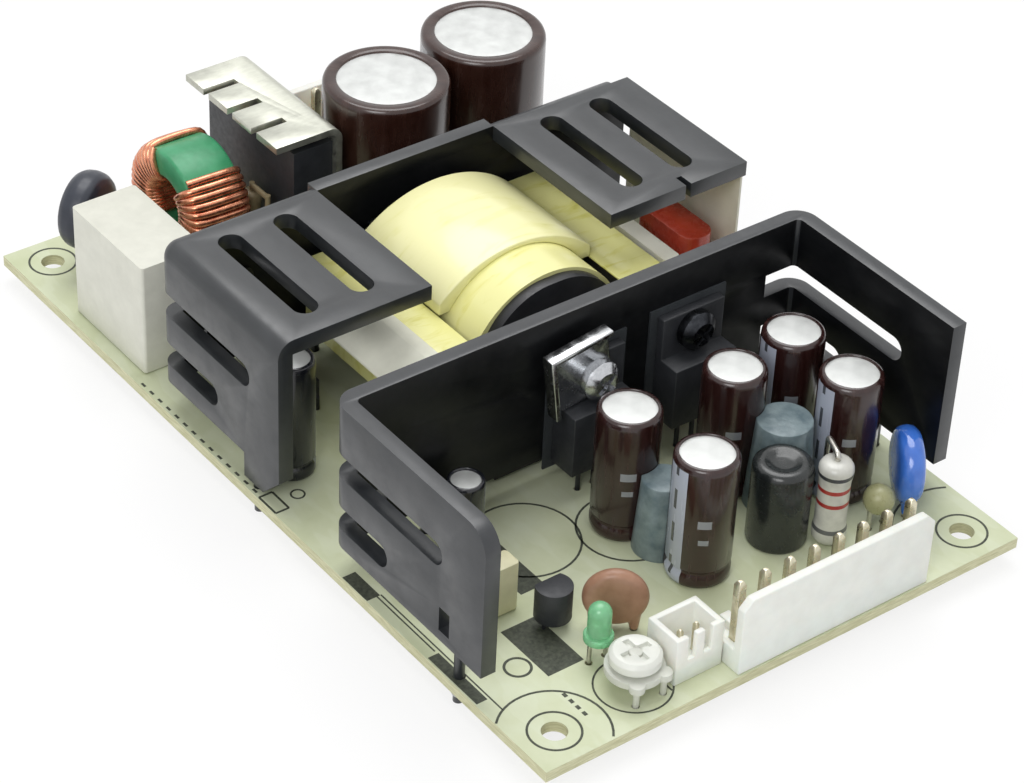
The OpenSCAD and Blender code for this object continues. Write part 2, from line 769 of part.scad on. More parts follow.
module bias_capacitor() {
    color([0.15, 0.16, 0.20]) electrolytic(bias_at, 2.5, 5, 11.2);
}

module startup_capacitor() {
    color([0.12, 0.12, 0.13]) electrolytic(startup_at, 2.5, startup_d, startup_h);
}

module interference_capacitor() {
    color([0.84, 0.84, 0.80]) {
        translate([x_cap_at[0], x_cap_at[1], zb + 0.2]) round_block(x_cap, 0.5);
        leads(x_cap_leads, 0.5);
    }
}

module small_film_capacitor() {
    color([0.90, 0.88, 0.72]) {
        translate([film_at[0], film_at[1], zb + 0.2]) round_block([3, 7.2, 7.4], 0.5);
        leads(film_leads, 0.5);
    }
}

module box_capacitor() {
    color([0.93, 0.92, 0.86]) {
        translate([box_cap_at[0], box_cap_at[1], zb + 0.2]) round_block(box_cap, 0.4);
        leads(box_cap_leads, 0.5);
    }
}

module red_film_capacitor() {
    color([0.62, 0.20, 0.12]) {
        translate([red_at[0], red_at[1], zb + 1]) round_block(red_cap, 2.2);
        leads(red_leads, 1.2);
    }
}

module blue_disc_capacitor() {
    color([0.25, 0.47, 0.82]) dipped_disc(blue_at, blue_a, blue_disc);
}

module small_disc_capacitor() {
    color([0.10, 0.16, 0.42]) dipped_disc(blue_small_at, 0, small_disc);
}

module tan_disc_capacitor() {
    color([0.60, 0.42, 0.33]) dipped_disc(tan_at, tan_a, tan_disc);
}

module bead_capacitor() {
    d = 4.2;
    lift = 2.2;
    color([0.58, 0.58, 0.44]) {
        translate([bead_at[0], bead_at[1], zb + lift + d/2]) sphere(d = d);
        leads(bead_leads, lift + d/2);
    }
}

// ---- input side ----

module inrush_thermistor() {
    color([0.17, 0.18, 0.22]) dipped_disc(ntc_at, ntc_a, ntc);
}

module choke_core() {
    color([0.20, 0.52, 0.34])
        translate([ring_at[0], ring_at[1], ring_z]) rotate([90, 0, 0])
            rotate_extrude($fn = 96) translate([ring_bore/2, -ring_t/2])
                square([(ring_d - ring_bore)/2, ring_t]);
}

// Both windings seen along the ring's axis: one bar for every turn
module turns_plan() {
    step = choke_sector/choke_turns;
    for (side = [0, 180], i = [0:choke_turns - 1])
        rotate(side + choke_lean + (i - (choke_turns - 1)/2)*step)
            translate([ring_bore/2 - wire_d, -wire_d/2])
                square([(ring_d - ring_bore)/2 + 2*wire_d, wire_d]);
}

module choke_windings() {
    color([0.75, 0.44, 0.29]) {
        translate([ring_at[0], ring_at[1], ring_z]) rotate([90, 0, 0]) difference() {
            linear_extrude(ring_t + 2*wire_d, center = true) turns_plan();
            difference() {
                cylinder(d = ring_d + 2*touch, h = ring_t + 2*touch, center = true, $fn = 96);
                cylinder(d = ring_bore - 2*touch, h = 2*ring_t, center = true, $fn = 96);
            }
        }
        leads(choke_leads, choke_lead_h);
    }
}

choke_lead_h = ring_z - zb - ring_d/2 + 2.4;

// Plastic saddle that the ring's lower rim sits in
module choke_base() {
    saddle_h = ring_z - zb - ring_d/2 + 1.6;
    color([0.16, 0.16, 0.17]) difference() {
        translate([ring_at[0] - saddle_w/2, ring_at[1] - saddle_l/2, zb])
            cube([saddle_w, saddle_l, saddle_h]);
        translate([ring_at[0], ring_at[1], ring_z]) rotate([90, 0, 0])
            cylinder(d = ring_d + 2*touch, h = ring_t + 2*touch, center = true);
    }
}

module bridge_rectifier() {
    size = bridge_size;
    color([0.11, 0.11, 0.12]) {
        translate([bridge_at[0] - size[0]/2, bridge_at[1] - size[1]/2, zb + 4.2]) difference() {
            cube(size);
            translate([-1, -2, size[2] - 2.6]) rotate([45, 0, 0]) translate([0, -3, 0])
                cube([size[0] + 2, 3, 6]);
        }
        leads(bridge_leads, 4.4);
    }
}

module input_fuse() {
    color([0.60, 0.55, 0.42]) standing_axial(fuse_leads, 2.8, 9.6, 3);
}

// ---- headers ----

// Friction lock header: base, tall wall on the outer side, small ribs between pins
module header(n, pins) {
    l = n*pin_pitch - 0.6;
    wall_t = 1.3;
    cut = 1.4;
    difference() {
        union() {
            translate([-header_w, -l/2, 0]) cube([header_w, l, base_h]);
            translate([-wall_t, 0, 0]) rotate([90, 0, 90]) linear_extrude(wall_t)
                polygon([[-l/2, 0], [l/2, 0], [l/2, wall_h - cut], [l/2 - cut, wall_h],
                    [cut - l/2, wall_h], [-l/2, wall_h - cut]]);
            for (i = [0:n-2])
                translate([-header_w, (i - n/2 + 0.55)*pin_pitch, base_h - 0.1])
                    cube([header_w - wall_t - 0.6, pin_pitch*0.4, 1.3]);
        }
        for (at = pins)
            translate([at[0] - pin_w/2 - touch, at[1] - pin_w/2 - touch, -1])
                cube([pin_w + 2*touch, pin_w + 2*touch, base_h + 3]);
    }
}

module output_header() {
    color([0.94, 0.94, 0.90]) translate([header_face, header_y, zb])
        header(out_pins, [for (p = out_pin_list) [p[0] - header_face, p[1] - header_y]]);
}

module output_pins() {
    color([0.80, 0.78, 0.66]) for (at = out_pin_list) square_pin(at, pin_w, zb + pin_h);
}

module input_header() {
    color([0.94, 0.94, 0.90]) translate([-header_face, in_header_y, zb]) rotate([0, 0, 180])
        header(in_positions,
            [for (p = in_pin_list) [-p[0] - header_face, in_header_y - p[1]]]);
}

module input_pins() {
    color([0.80, 0.78, 0.66]) for (at = in_pin_list) square_pin(at, pin_w, zb + pin_h);
}

module fan_header() {
    wall = 0.8;
    floor_t = 2;
    color([0.94, 0.94, 0.90]) translate([fan_at[0], fan_at[1], zb]) difference() {
        translate([-fan_box[0]/2, -fan_box[1]/2, 0]) cube(fan_box);
        translate([wall - fan_box[0]/2, wall - fan_box[1]/2, floor_t])
            cube([fan_box[0] - 2*wall, fan_box[1] - 2*wall, fan_box[2]]);
        for (at = fan_pin_list) {
            translate([at[0] - fan_at[0] - fan_pin_w/2 - touch,
                at[1] - fan_at[1] - fan_pin_w/2 - touch, -1])
                cube([fan_pin_w + 2*touch, fan_pin_w + 2*touch, floor_t + 2]);
            translate([0, at[1] - fan_at[1] - 0.6, floor_t + 1.2])
                cube([fan_box[0], 1.2, fan_box[2]]);
        }
    }
}

module fan_pins() {
    color([0.80, 0.78, 0.66])
        for (at = fan_pin_list) square_pin(at, fan_pin_w, zb + fan_box[2] - 0.8);
}

// ---- small output parts ----

module output_inductor() {
    color([0.13, 0.14, 0.15]) {
        translate([drum_at[0], drum_at[1], zb]) rotate_extrude()
            polygon([[0, 0], [drum_d/2 - 0.4, 0], [drum_d/2, 0.6], [drum_d/2, drum_h - 1.2],
                [drum_d/2 - 1, drum_h - 0.2], [drum_d/2 - 1.8, drum_h - 0.2],
                [drum_d/2 - 2.2, drum_h - 0.7], [0, drum_h - 0.7]]);
        leads(drum_leads, 0.3);
    }
}

module load_resistor() {
    color([0.80, 0.80, 0.76]) standing_axial(resistor_leads, 4.6, 12.6, 0.3);
}

// Upright axial part with swollen ends, its top wire bent over to a second lead
module standing_axial(ends, d, l, lift) {
    r = d/2;
    rim = r*0.3;
    neck = r*0.09;
    cap = l*0.17;
    top = lift + l + 1.2;
    span = ends[1] - ends[0];
    translate([ends[0][0], ends[0][1], zb + lift]) rotate_extrude()
        polygon([[0, 0], [r - rim, 0], [r, rim], [r, cap], [r - neck, cap + rim],
            [r - neck, l - cap - rim], [r, l - cap], [r, l - rim], [r - rim, l], [0, l]]);
    lead(ends[0], top);
    lead(ends[1], top);
    translate([ends[0][0], ends[0][1], zb + top - lead_d/2])
        rotate([0, 90, atan2(span[1], span[0])])
            cylinder(d = lead_d, h = norm(span), $fn = 24);
}

module trimmer_body() {
    plate_t = 1;
    lift = 2.5;
    color([0.90, 0.90, 0.86]) {
        translate([dial_at[0], dial_at[1], zb + lift]) cylinder(d = dial_d + 0.9, h = plate_t);
        translate([dial_at[0], dial_at[1], zb + lift])
            cylinder(d = dial_pin_d, h = dial_z - zb - lift + 1.5);
        for (at = trimmer_leads)
            translate([at[0], at[1], zb + lift]) cylinder(d = 2, h = plate_t);
        leads(trimmer_leads, lift + plate_t/2);
    }
}

// Dial with a cross slot, free to turn on the body's pin
module trimmer_dial() {
    t = 1.8;
    slot_depth = 0.6;
    color([0.95, 0.97, 0.94]) translate([dial_at[0], dial_at[1], dial_z]) difference() {
        rotate_extrude()
            polygon([[0, 0], [dial_d/2 - 0.3, 0], [dial_d/2, 0.3], [dial_d/2, t - 0.5],
                [dial_d/2 - 0.5, t], [0, t]]);
        translate([0, 0, -1]) cylinder(d = dial_pin_d + 2*dial_gap, h = t + 2);
        for (a = [0, 90]) rotate([0, 0, a])
            translate([-dial_d*0.32, -0.45, t - slot_depth]) cube([dial_d*0.64, 0.9, 1]);
    }
}

module status_led() {
    color([0.30, 0.85, 0.45]) {
        translate([led_at[0], led_at[1], zb + 3.2]) {
            cylinder(d = 3.8, h = 1);
            cylinder(d = 3, h = 4.2);
            translate([0, 0, 4.2]) sphere(d = 3);
        }
        leads(led_leads, 3.4, 0.6);
    }
}

module regulator() {
    color([0.11, 0.11, 0.12]) {
        translate([to92_at[0], to92_at[1], zb + 1.6]) difference() {
            cylinder(d = 4.8, h = 4.8);
            translate([-5, -3, -1]) cube([3.6, 6, 7]);
        }
        leads(to92_leads, 1.8, 0.5);
    }
}

// ---- parts under the right flange ----

module insulation_film() {
    color([0.92, 0.91, 0.84])
        translate([in_sink_x + sheet_t + 2, in_right - film_t - 0.2, zb])
            cube([in_sink_l - sheet_t - 2.4, film_t, sink_h - sheet_t]);
}

module optocoupler() {
    color([0.92, 0.92, 0.90]) {
        translate([opto_at[0], opto_at[1], zb + 0.4]) round_block([6.4, 4.6, 3.4], 0.3);
        for (at = opto_leads) lead(at, 1.9);
        for (s = [-1, 1]) for (u = [-1, 1])
            translate([opto_at[0] + s*3.5 - 0.4, opto_at[1] + u*1.27 - 0.4, zb + 1.4])
                cube([0.8, 0.8, 0.5]);
    }
}

module control_ic() {
    color([0.11, 0.11, 0.12]) {
        translate([ic_at[0], ic_at[1], zb + 0.4]) round_block([6.4, 9.6, 3.4], 0.3);
        for (at = ic_leads) {
            lead(at, 1.9);
            translate([min(at[0], ic_at[0]), at[1] - 0.4, zb + 1.4])
                cube([abs(at[0] - ic_at[0]), 0.8, 0.5]);
        }
    }
}

// Silicone that bonds neighbouring tall parts, clear of each can by a hair
module glue_fillets() {
    a = out_cap_at;
    color([0.55, 0.60, 0.60, 0.8]) {
        glue((a[0] + a[1])/2, 3.6, 11);
        glue((a[2] + a[4] + drum_at)/3 - [0.6, 0], 4.6, 13);
    }
}

module glue(at, r, h) {
    difference() {
        translate([at[0], at[1], zb]) cylinder(r1 = r, r2 = r*0.8, h = h);
        for (c = out_cap_at)
            translate([c[0], c[1], zb - 1]) cylinder(d = out_cap_d + 2*touch, h = h + 2, $fn = 72);
        translate([drum_at[0], drum_at[1], zb - 1])
            cylinder(d = drum_d + 2*touch, h = h + 2);
    }
}

circuit_board();
solder_joints();
output_heatsink();
input_heatsink();
bridge_heatsink();
output_rectifier();
second_rectifier();
rectifier_clip();
device_pads();
primary_switch_a();
primary_switch_b();
heatsink_screws();
transformer_core_a();
transformer_core_b();
transformer_bobbin();
transformer_winding();
transformer_tape();
core_tape();
transformer_label();
bulk_capacitor(0);  // bulk_capacitor_a
bulk_capacitor(1);  // bulk_capacitor_b
output_capacitor(0);  // output_capacitor_a
output_capacitor(1);  // output_capacitor_b
output_capacitor(2);  // output_capacitor_c
output_capacitor(3);  // output_capacitor_d
output_capacitor(4);  // output_capacitor_e
output_inductor();
bias_capacitor();
load_resistor();
blue_disc_capacitor();
bead_capacitor();
output_header();
output_pins();
fan_header();
fan_pins();
trimmer_body();
trimmer_dial();
status_led();
small_film_capacitor();
regulator();
tan_disc_capacitor();
interference_capacitor();
inrush_thermistor();
choke_core();
choke_windings();
choke_base();
bridge_rectifier();
input_fuse();
input_header();
input_pins();
box_capacitor();
small_disc_capacitor();
red_film_capacitor();
insulation_film();
optocoupler();
control_ic();
startup_capacitor();
glue_fillets();
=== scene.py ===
import math

import bmesh
import bpy
from mathutils import Matrix, Vector


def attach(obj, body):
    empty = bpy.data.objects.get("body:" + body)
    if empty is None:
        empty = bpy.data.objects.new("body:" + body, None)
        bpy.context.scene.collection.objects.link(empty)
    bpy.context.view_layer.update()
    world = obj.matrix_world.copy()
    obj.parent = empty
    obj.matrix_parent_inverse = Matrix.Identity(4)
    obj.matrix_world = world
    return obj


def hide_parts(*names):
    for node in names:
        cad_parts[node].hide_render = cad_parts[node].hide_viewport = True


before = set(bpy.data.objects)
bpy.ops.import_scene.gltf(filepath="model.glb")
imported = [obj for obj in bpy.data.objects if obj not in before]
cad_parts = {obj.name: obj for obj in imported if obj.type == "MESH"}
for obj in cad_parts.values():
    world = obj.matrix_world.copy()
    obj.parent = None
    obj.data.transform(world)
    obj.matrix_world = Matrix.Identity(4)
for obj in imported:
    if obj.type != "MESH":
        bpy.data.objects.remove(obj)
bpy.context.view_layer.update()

MM = 0.001
BOARD_TOP = 3.8          # height of the board's upper face, mm
SUPPLY = "supply"
rad = math.radians


# ---- placing and finishing pieces ----

def at(x=0.0, y=0.0, z=0.0, turn=0.0, tip=0.0):
    """Place in millimetres, z above the board; tip leans about X, turn spins about Z."""
    return (Matrix.Translation((x * MM, y * MM, (z + BOARD_TOP) * MM))
            @ Matrix.Rotation(rad(turn), 4, "Z") @ Matrix.Rotation(rad(tip), 4, "X")
            @ Matrix.Scale(MM, 4))


def finished(bm, name, finishes, stands_for=(), body=SUPPLY, crease=35, outward=True):
    """Turns a bmesh in metres into a riding piece with smooth faces and sharp creases."""
    bmesh.ops.remove_doubles(bm, verts=bm.verts, dist=2e-6)
    if outward:
        bmesh.ops.recalc_face_normals(bm, faces=bm.faces)
    mesh = bpy.data.meshes.new(name)
    bm.to_mesh(mesh)
    bm.free()
    return dressed(mesh, name, finishes, stands_for, body, crease)


def dressed(mesh, name, finishes, stands_for=(), body=SUPPLY, crease=35):
    for face in mesh.polygons:
        face.use_smooth = True
    mesh.set_sharp_from_angle(angle=rad(crease))
    for finish in finishes:
        mesh.materials.append(finish)
    piece = bpy.data.objects.new(name, mesh)
    bpy.context.scene.collection.objects.link(piece)
    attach(piece, body)
    if stands_for:
        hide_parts(*stands_for)
    return piece


def applied(piece, *modifiers):
    """Adds (type, settings) modifiers, applies them and returns the finished mesh."""
    for kind, settings in modifiers:
        modifier = piece.modifiers.new(kind.title(), kind)
        for key, value in settings.items():
            setattr(modifier, key, value)
    graph = bpy.context.evaluated_depsgraph_get()
    mesh = bpy.data.meshes.new_from_object(piece.evaluated_get(graph))
    bpy.data.objects.remove(piece)
    return mesh


def loose(bm, name):
    mesh = bpy.data.meshes.new(name)
    bm.to_mesh(mesh)
    bm.free()
    piece = bpy.data.objects.new(name, mesh)
    bpy.context.scene.collection.objects.link(piece)
    return piece


def softened(node, width, finish, segments=2, angle=30, name=None, body=SUPPLY, crease=35,
             other=None, where=None):
    """The node's own solid with its sharp edges rounded over."""
    bm = bmesh.new()
    bm.from_mesh(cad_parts[node].data)
    bmesh.ops.remove_doubles(bm, verts=bm.verts, dist=1e-6)
    bmesh.ops.dissolve_limit(bm, angle_limit=rad(2), verts=bm.verts, edges=bm.edges)
    sharp = [e for e in bm.edges if len(e.link_faces) == 2 and e.calc_face_angle(0) > rad(angle)]
    bmesh.ops.bevel(bm, geom=sharp, offset=width * MM, offset_type="OFFSET", segments=segments,
                    profile=0.5, affect="EDGES", clamp_overlap=True, material=-1)
    finishes = [finish]
    if other:
        finishes.append(other)
        for face in bm.faces:
            face.material_index = int(where(face.calc_center_median() / MM, face.normal))
    return finished(bm, name or node + "_soft", finishes, (node,), body, crease, False)


def turned(bm, profile, place, steps=48, uv=False):
    """Lathe turns (radius, height, material) points about the upright axis and places them."""
    ring = [bm.verts.new((r, 0, z)) for r, z, _ in profile]
    edges = [bm.edges.new(pair) for pair in zip(ring, ring[1:])]
    turn = bmesh.ops.spin(bm, geom=ring + edges, cent=(0, 0, 0), axis=(0, 0, 1),
                          angle=2 * math.pi, steps=steps, use_merge=True)
    verts = set(ring)
    for part in turn["geom_last"]:
        if isinstance(part, bmesh.types.BMVert):
            verts.add(part)
    grown = walked(ring[0])
    faces = {f for v in grown for f in v.link_faces}
    heights = [(abs(a[1] - b[1]), a, b) for a, b in zip(profile, profile[1:])]
    for face in faces:
        mid = face.calc_center_median()
        radius = math.hypot(mid.x, mid.y)
        best = min(range(len(profile) - 1), key=lambda i: segment_gap(profile[i], profile[i + 1], radius, mid.z))
        face.material_index = profile[best][2]
    if uv:
        layer = bm.loops.layers.uv.verify()
        for face in faces:
            mid = face.calc_center_median()
            middle = math.atan2(mid.y, mid.x)
            for loop in face.loops:
                co = loop.vert.co
                if face.material_index == 0:
                    turn_by = math.atan2(co.y, co.x) - middle if math.hypot(co.x, co.y) > 1e-6 else 0
                    turn_by = (turn_by + math.pi) % (2 * math.pi) - math.pi
                    loop[layer].uv = ((middle + turn_by) / (2 * math.pi) * 360, co.z)
                else:
                    loop[layer].uv = (co.x, co.y)
    bmesh.ops.transform(bm, matrix=place, verts=list(grown))
    return grown


def segment_gap(a, b, r, z):
    """Distance of a point from one straight stretch of a lathe profile."""
    ax, az, bx, bz = a[0], a[1], b[0], b[1]
    length = (bx - ax) ** 2 + (bz - az) ** 2 or 1e-9
    t = max(0, min(1, ((r - ax) * (bx - ax) + (z - az) * (bz - az)) / length))
    return math.hypot(r - ax - t * (bx - ax), z - az - t * (bz - az))


def walked(start):
    """Every vertex joined to the first one."""
    seen, edge = {start}, [start]
    while edge:
        vert = edge.pop()
        for link in vert.link_edges:
            other = link.other_vert(vert)
            if other not in seen:
                seen.add(other)
                edge.append(other)
    return seen


def pin(bm, x, y, low, high, d, material=0, steps=12):
    made = bmesh.ops.create_cone(bm, cap_ends=True, segments=steps, radius1=d / 2, radius2=d / 2,
                                 depth=high - low, matrix=Matrix.Translation((0, 0, (low + high) / 2)))
    bmesh.ops.transform(bm, matrix=at(x, y), verts=made["verts"])
    for face in {f for v in made["verts"] for f in v.link_faces}:
        face.material_index = material


def block(bm, size, place, material=0, width=0.0, segments=2):
    """A box with rounded edges, centred, in millimetres before its place is applied."""
    made = bmesh.ops.create_cube(bm, size=1.0, matrix=Matrix.Diagonal((*size, 1)))
    verts = made["verts"]
    if width:
        edges = list({e for v in verts for e in v.link_edges})
        rounded = bmesh.ops.bevel(bm, geom=edges, offset=width, offset_type="OFFSET", segments=segments,
                                  profile=0.5, affect="EDGES", clamp_overlap=True, material=-1)
        verts = list(walked(rounded["verts"][0]))
    bmesh.ops.transform(bm, matrix=place, verts=verts)
    for face in {f for v in verts for f in v.link_faces}:
        face.material_index = material


def wire(points, d, name, cyclic=False, resolution=4):
    """A round wire through points in millimetres above the board, as a mesh."""
    curve = bpy.data.curves.new(name, "CURVE")
    curve.dimensions = "3D"
    curve.bevel_depth = d / 2 * MM
    curve.bevel_resolution = 3
    curve.use_fill_caps = True
    spline = curve.splines.new("NURBS")
    spline.points.add(len(points) - 1)
    for point, (x, y, z) in zip(spline.points, points):
        point.co = (x * MM, y * MM, (z + BOARD_TOP) * MM, 1)
    spline.use_cyclic_u = cyclic
    spline.use_endpoint_u = not cyclic
    spline.order_u = 3
    spline.resolution_u = resolution
    holder = bpy.data.objects.new(name, curve)
    bpy.context.scene.collection.objects.link(holder)
    mesh = bpy.data.meshes.new_from_object(holder.evaluated_get(bpy.context.evaluated_depsgraph_get()))
    bpy.data.objects.remove(holder)
    return mesh


def added(bm, mesh, material=0):
    """Adds a mesh to a bmesh with one of its materials."""
    before = len(bm.faces)
    bm.from_mesh(mesh)
    bm.faces.ensure_lookup_table()
    for face in bm.faces[before:]:
        face.material_index = material
    bpy.data.meshes.remove(mesh)


# ---- finishes ----

def tone(r, g, b):
    """A colour given as 0-255 display values."""
    return tuple((c / 255 / 12.92 if c / 255 <= 0.04045 else ((c / 255 + 0.055) / 1.055) ** 2.4)
                 for c in (r, g, b)) + (1.0,)


class Finish:
    """A material whose patterns are laid out in millimetres of the model, or on the piece's map."""

    def __init__(self, name, roughness=0.45, metallic=0.0, specular=0.5, on_map=False, **more):
        self.material = bpy.data.materials.new(name)
        self.material.use_nodes = True
        self.tree = self.material.node_tree
        self.tree.nodes.clear()
        out = self.tree.nodes.new("ShaderNodeOutputMaterial")
        self.surface = self.tree.nodes.new("ShaderNodeBsdfPrincipled")
        self.join(self.surface.outputs[0], out.inputs[0])
        self.surface.inputs["Roughness"].default_value = roughness
        self.surface.inputs["Metallic"].default_value = metallic
        self.surface.inputs["Specular IOR Level"].default_value = specular
        for key, value in more.items():
            self.surface.inputs[key.replace("_", " ")].default_value = value
        coord = self.tree.nodes.new("ShaderNodeTexCoord")
        self.place = self.tree.nodes.new("ShaderNodeMapping")
        if on_map:
            self.join(coord.outputs["UV"], self.place.inputs[0])
        else:
            self.join(coord.outputs["Object"], self.place.inputs[0])
            self.place.inputs["Scale"].default_value = (1000, 1000, 1000)
        self.spot = self.place.outputs[0]

    def join(self, source, target):
        self.tree.links.new(source, target)

    def stretched(self, x, y, z):
        node = self.tree.nodes.new("ShaderNodeMapping")
        node.inputs["Scale"].default_value = (x, y, z)
        self.join(self.spot, node.inputs[0])
        return node.outputs[0]

    def noise(self, size, detail=3.0, rough=0.55, spot=None, distortion=0.0):
        node = self.tree.nodes.new("ShaderNodeTexNoise")
        node.inputs["Scale"].default_value = 1 / size
        node.inputs["Detail"].default_value = detail
        node.inputs["Roughness"].default_value = rough
        node.inputs["Distortion"].default_value = distortion
        self.join(spot or self.spot, node.inputs["Vector"])
        return node.outputs["Fac"]

    def axis(self, which, spot=None):
        node = self.tree.nodes.new("ShaderNodeSeparateXYZ")
        self.join(spot or self.spot, node.inputs[0])
        return node.outputs["XYZ".index(which)]

    def sum(self, kind, a, b=0.0, c=0.0):
        node = self.tree.nodes.new("ShaderNodeMath")
        node.operation = kind
        for i, value in enumerate((a, b, c)):
            if isinstance(value, (int, float)):
                node.inputs[i].default_value = value
            else:
                self.join(value, node.inputs[i])
        return node.outputs[0]

    def band(self, value, middle, half):
        return self.sum("COMPARE", value, middle, half)

    def ramp(self, value, *stops):
        node = self.tree.nodes.new("ShaderNodeValToRGB")
        ramp = node.color_ramp
        while len(ramp.elements) < len(stops):
            ramp.elements.new(0.5)
        for element, (position, colour) in zip(ramp.elements, stops):
            element.position = position
            element.color = colour
        self.join(value, node.inputs[0])
        return node.outputs[0]

    def range(self, value, low, high, to_low=0.0, to_high=1.0):
        node = self.tree.nodes.new("ShaderNodeMapRange")
        for i, number in enumerate((low, high, to_low, to_high)):
            node.inputs[i + 1].default_value = number
        self.join(value, node.inputs[0])
        return node.outputs[0]

    def mix(self, share, a, b, kind="MIX"):
        node = self.tree.nodes.new("ShaderNodeMix")
        node.data_type = "RGBA"
        node.blend_type = kind
        for socket, value in ((node.inputs[0], share), (node.inputs[6], a), (node.inputs[7], b)):
            if isinstance(value, (int, float, tuple)):
                socket.default_value = value
            else:
                self.join(value, socket)
        return node.outputs[2]

    def colour(self, source):
        self.join(source, self.surface.inputs["Base Color"])
        return self

    def roughness(self, source):
        self.join(source, self.surface.inputs["Roughness"])
        return self

    def relief(self, *layers):
        """Stacks (height, depth in mm, strength) bumps."""
        last = None
        for height, depth, strength in layers:
            node = self.tree.nodes.new("ShaderNodeBump")
            node.inputs["Strength"].default_value = strength
            node.inputs["Distance"].default_value = depth * MM
            self.join(height, node.inputs["Height"])
            if last:
                self.join(last, node.inputs["Normal"])
            last = node.outputs[0]
        self.join(last, self.surface.inputs["Normal"])
        return self


def moulded(name, colour, spread=8, roughness=0.45, grain=0.25, specular=0.5, **more):
    """Moulded or dipped plastic: faint clouding, fine orange peel and uneven gloss."""
    f = Finish(name, roughness, 0, specular, **more)
    cloud = f.noise(2.5, 3)
    dark = tone(*[max(0, c - spread) for c in colour])
    light = tone(*[min(255, c + spread) for c in colour])
    f.colour(f.ramp(cloud, (0.3, dark), (0.7, light)))
    f.roughness(f.range(f.noise(0.8, 4), 0.3, 0.7, roughness - 0.07, roughness + 0.09))
    f.relief((f.noise(grain, 3), 0.02, 0.25), (f.noise(1.6, 2), 0.04, 0.2))
    return f.material


def metal(name, colour, roughness=0.3, spread=14, brushed=(1, 1, 1), **more):
    """Bare or plated metal with fine scratches and dull patches."""
    f = Finish(name, roughness, 1.0, **more)
    marks = f.noise(0.5, 5, 0.6, f.stretched(*brushed))
    f.colour(f.ramp(marks, (0.3, tone(*[max(0, c - spread) for c in colour])),
                    (0.7, tone(*[min(255, c + spread // 2) for c in colour]))))
    f.roughness(f.range(f.noise(1.2, 4), 0.3, 0.75, roughness - 0.08, roughness + 0.14))
    f.relief((marks, 0.015, 0.25))
    return f.material


def board_laminate():
    f = Finish("board_laminate", 0.5, specular=0.4)
    weave = f.sum("MULTIPLY", f.sum("SINE", f.sum("MULTIPLY", f.axis("X"), 9.0)),
                  f.sum("SINE", f.sum("MULTIPLY", f.axis("Y"), 9.0)))
    cloud = f.ramp(f.noise(9, 4), (0.3, tone(196, 203, 166)), (0.55, tone(208, 214, 182)),
                   (0.75, tone(214, 221, 194)))
    tracks = f.range(f.noise(3.2, 2, 0.4, f.stretched(0.35, 1.0, 1.0)), 0.52, 0.56)
    face = f.mix(f.sum("MULTIPLY", tracks, 0.22), cloud, tone(222, 228, 206))
    height = f.axis("Z")
    top = f.sum("GREATER_THAN", height, BOARD_TOP - 0.04)
    layers = f.ramp(f.noise(0.35, 3, 0.6, f.stretched(0.15, 0.15, 3.0)),
                    (0.35, tone(186, 184, 142)), (0.65, tone(220, 219, 184)))
    f.colour(f.mix(top, layers, face))
    f.relief((weave, 0.012, 0.12), (f.noise(0.5, 3), 0.02, 0.15))
    f.roughness(f.range(cloud, 0.2, 0.8, 0.42, 0.58))
    return f.material


def black_sheet(name, base=(33, 36, 40), gloss=0.75):
    """Black anodised sheet: satin, with drawn grain and a few rubbed spots."""
    f = Finish(name, 0.38, specular=gloss)
    drawn = f.noise(0.9, 4, 0.6, f.stretched(0.25, 1.0, 1.0))
    cloud = f.noise(7, 3)
    low = tuple(max(0, c - 7) for c in base)
    high = tuple(c + 9 for c in base)
    f.colour(f.mix(0.35, f.ramp(cloud, (0.3, tone(*low)), (0.7, tone(*high))),
                   f.ramp(drawn, (0.35, tone(*low)), (0.7, tone(*high)))))
    f.roughness(f.range(f.noise(3, 4), 0.3, 0.75, 0.3, 0.48))
    f.relief((drawn, 0.012, 0.25), (f.noise(0.18, 2), 0.01, 0.25))
    return f.material


def ferrite():
    f = Finish("ferrite", 0.5, specular=0.5)
    specks = f.noise(0.3, 3)
    f.colour(f.ramp(specks, (0.35, tone(40, 40, 42)), (0.62, tone(62, 62, 64)), (0.75, tone(92, 92, 94))))
    f.roughness(f.range(specks, 0.3, 0.7, 0.36, 0.6))
    f.relief((f.noise(0.22, 3), 0.03, 0.4), (f.noise(2.0, 2), 0.04, 0.2))
    return f.material


def tape(name, light, shade, fold_shadow):
    """Thin glossy polyester tape: long soft wrinkles, with painted shade: darker tones where it lies in folds, lighter
    on the crests.
    """
    f = Finish(name, 0.28, specular=0.5, Coat_Weight=0.35, Coat_Roughness=0.12)
    wrinkle = f.noise(2.6, 3, 0.5, f.stretched(1.6, 0.45, 0.6), 0.6)
    creases = f.noise(1.1, 2, 0.5, f.stretched(0.5, 1.4, 1.0), 0.8)
    # Colour follows the wrinkle height: the fold tone is painted shadow in the hollows, the light tone is painted
    # light on the crests.
    f.colour(f.ramp(wrinkle, (0.18, tone(*fold_shadow)), (0.3, tone(*shade)), (0.45, tone(*light))))
    f.relief((wrinkle, 0.12, 0.25), (creases, 0.05, 0.15))
    return f.material


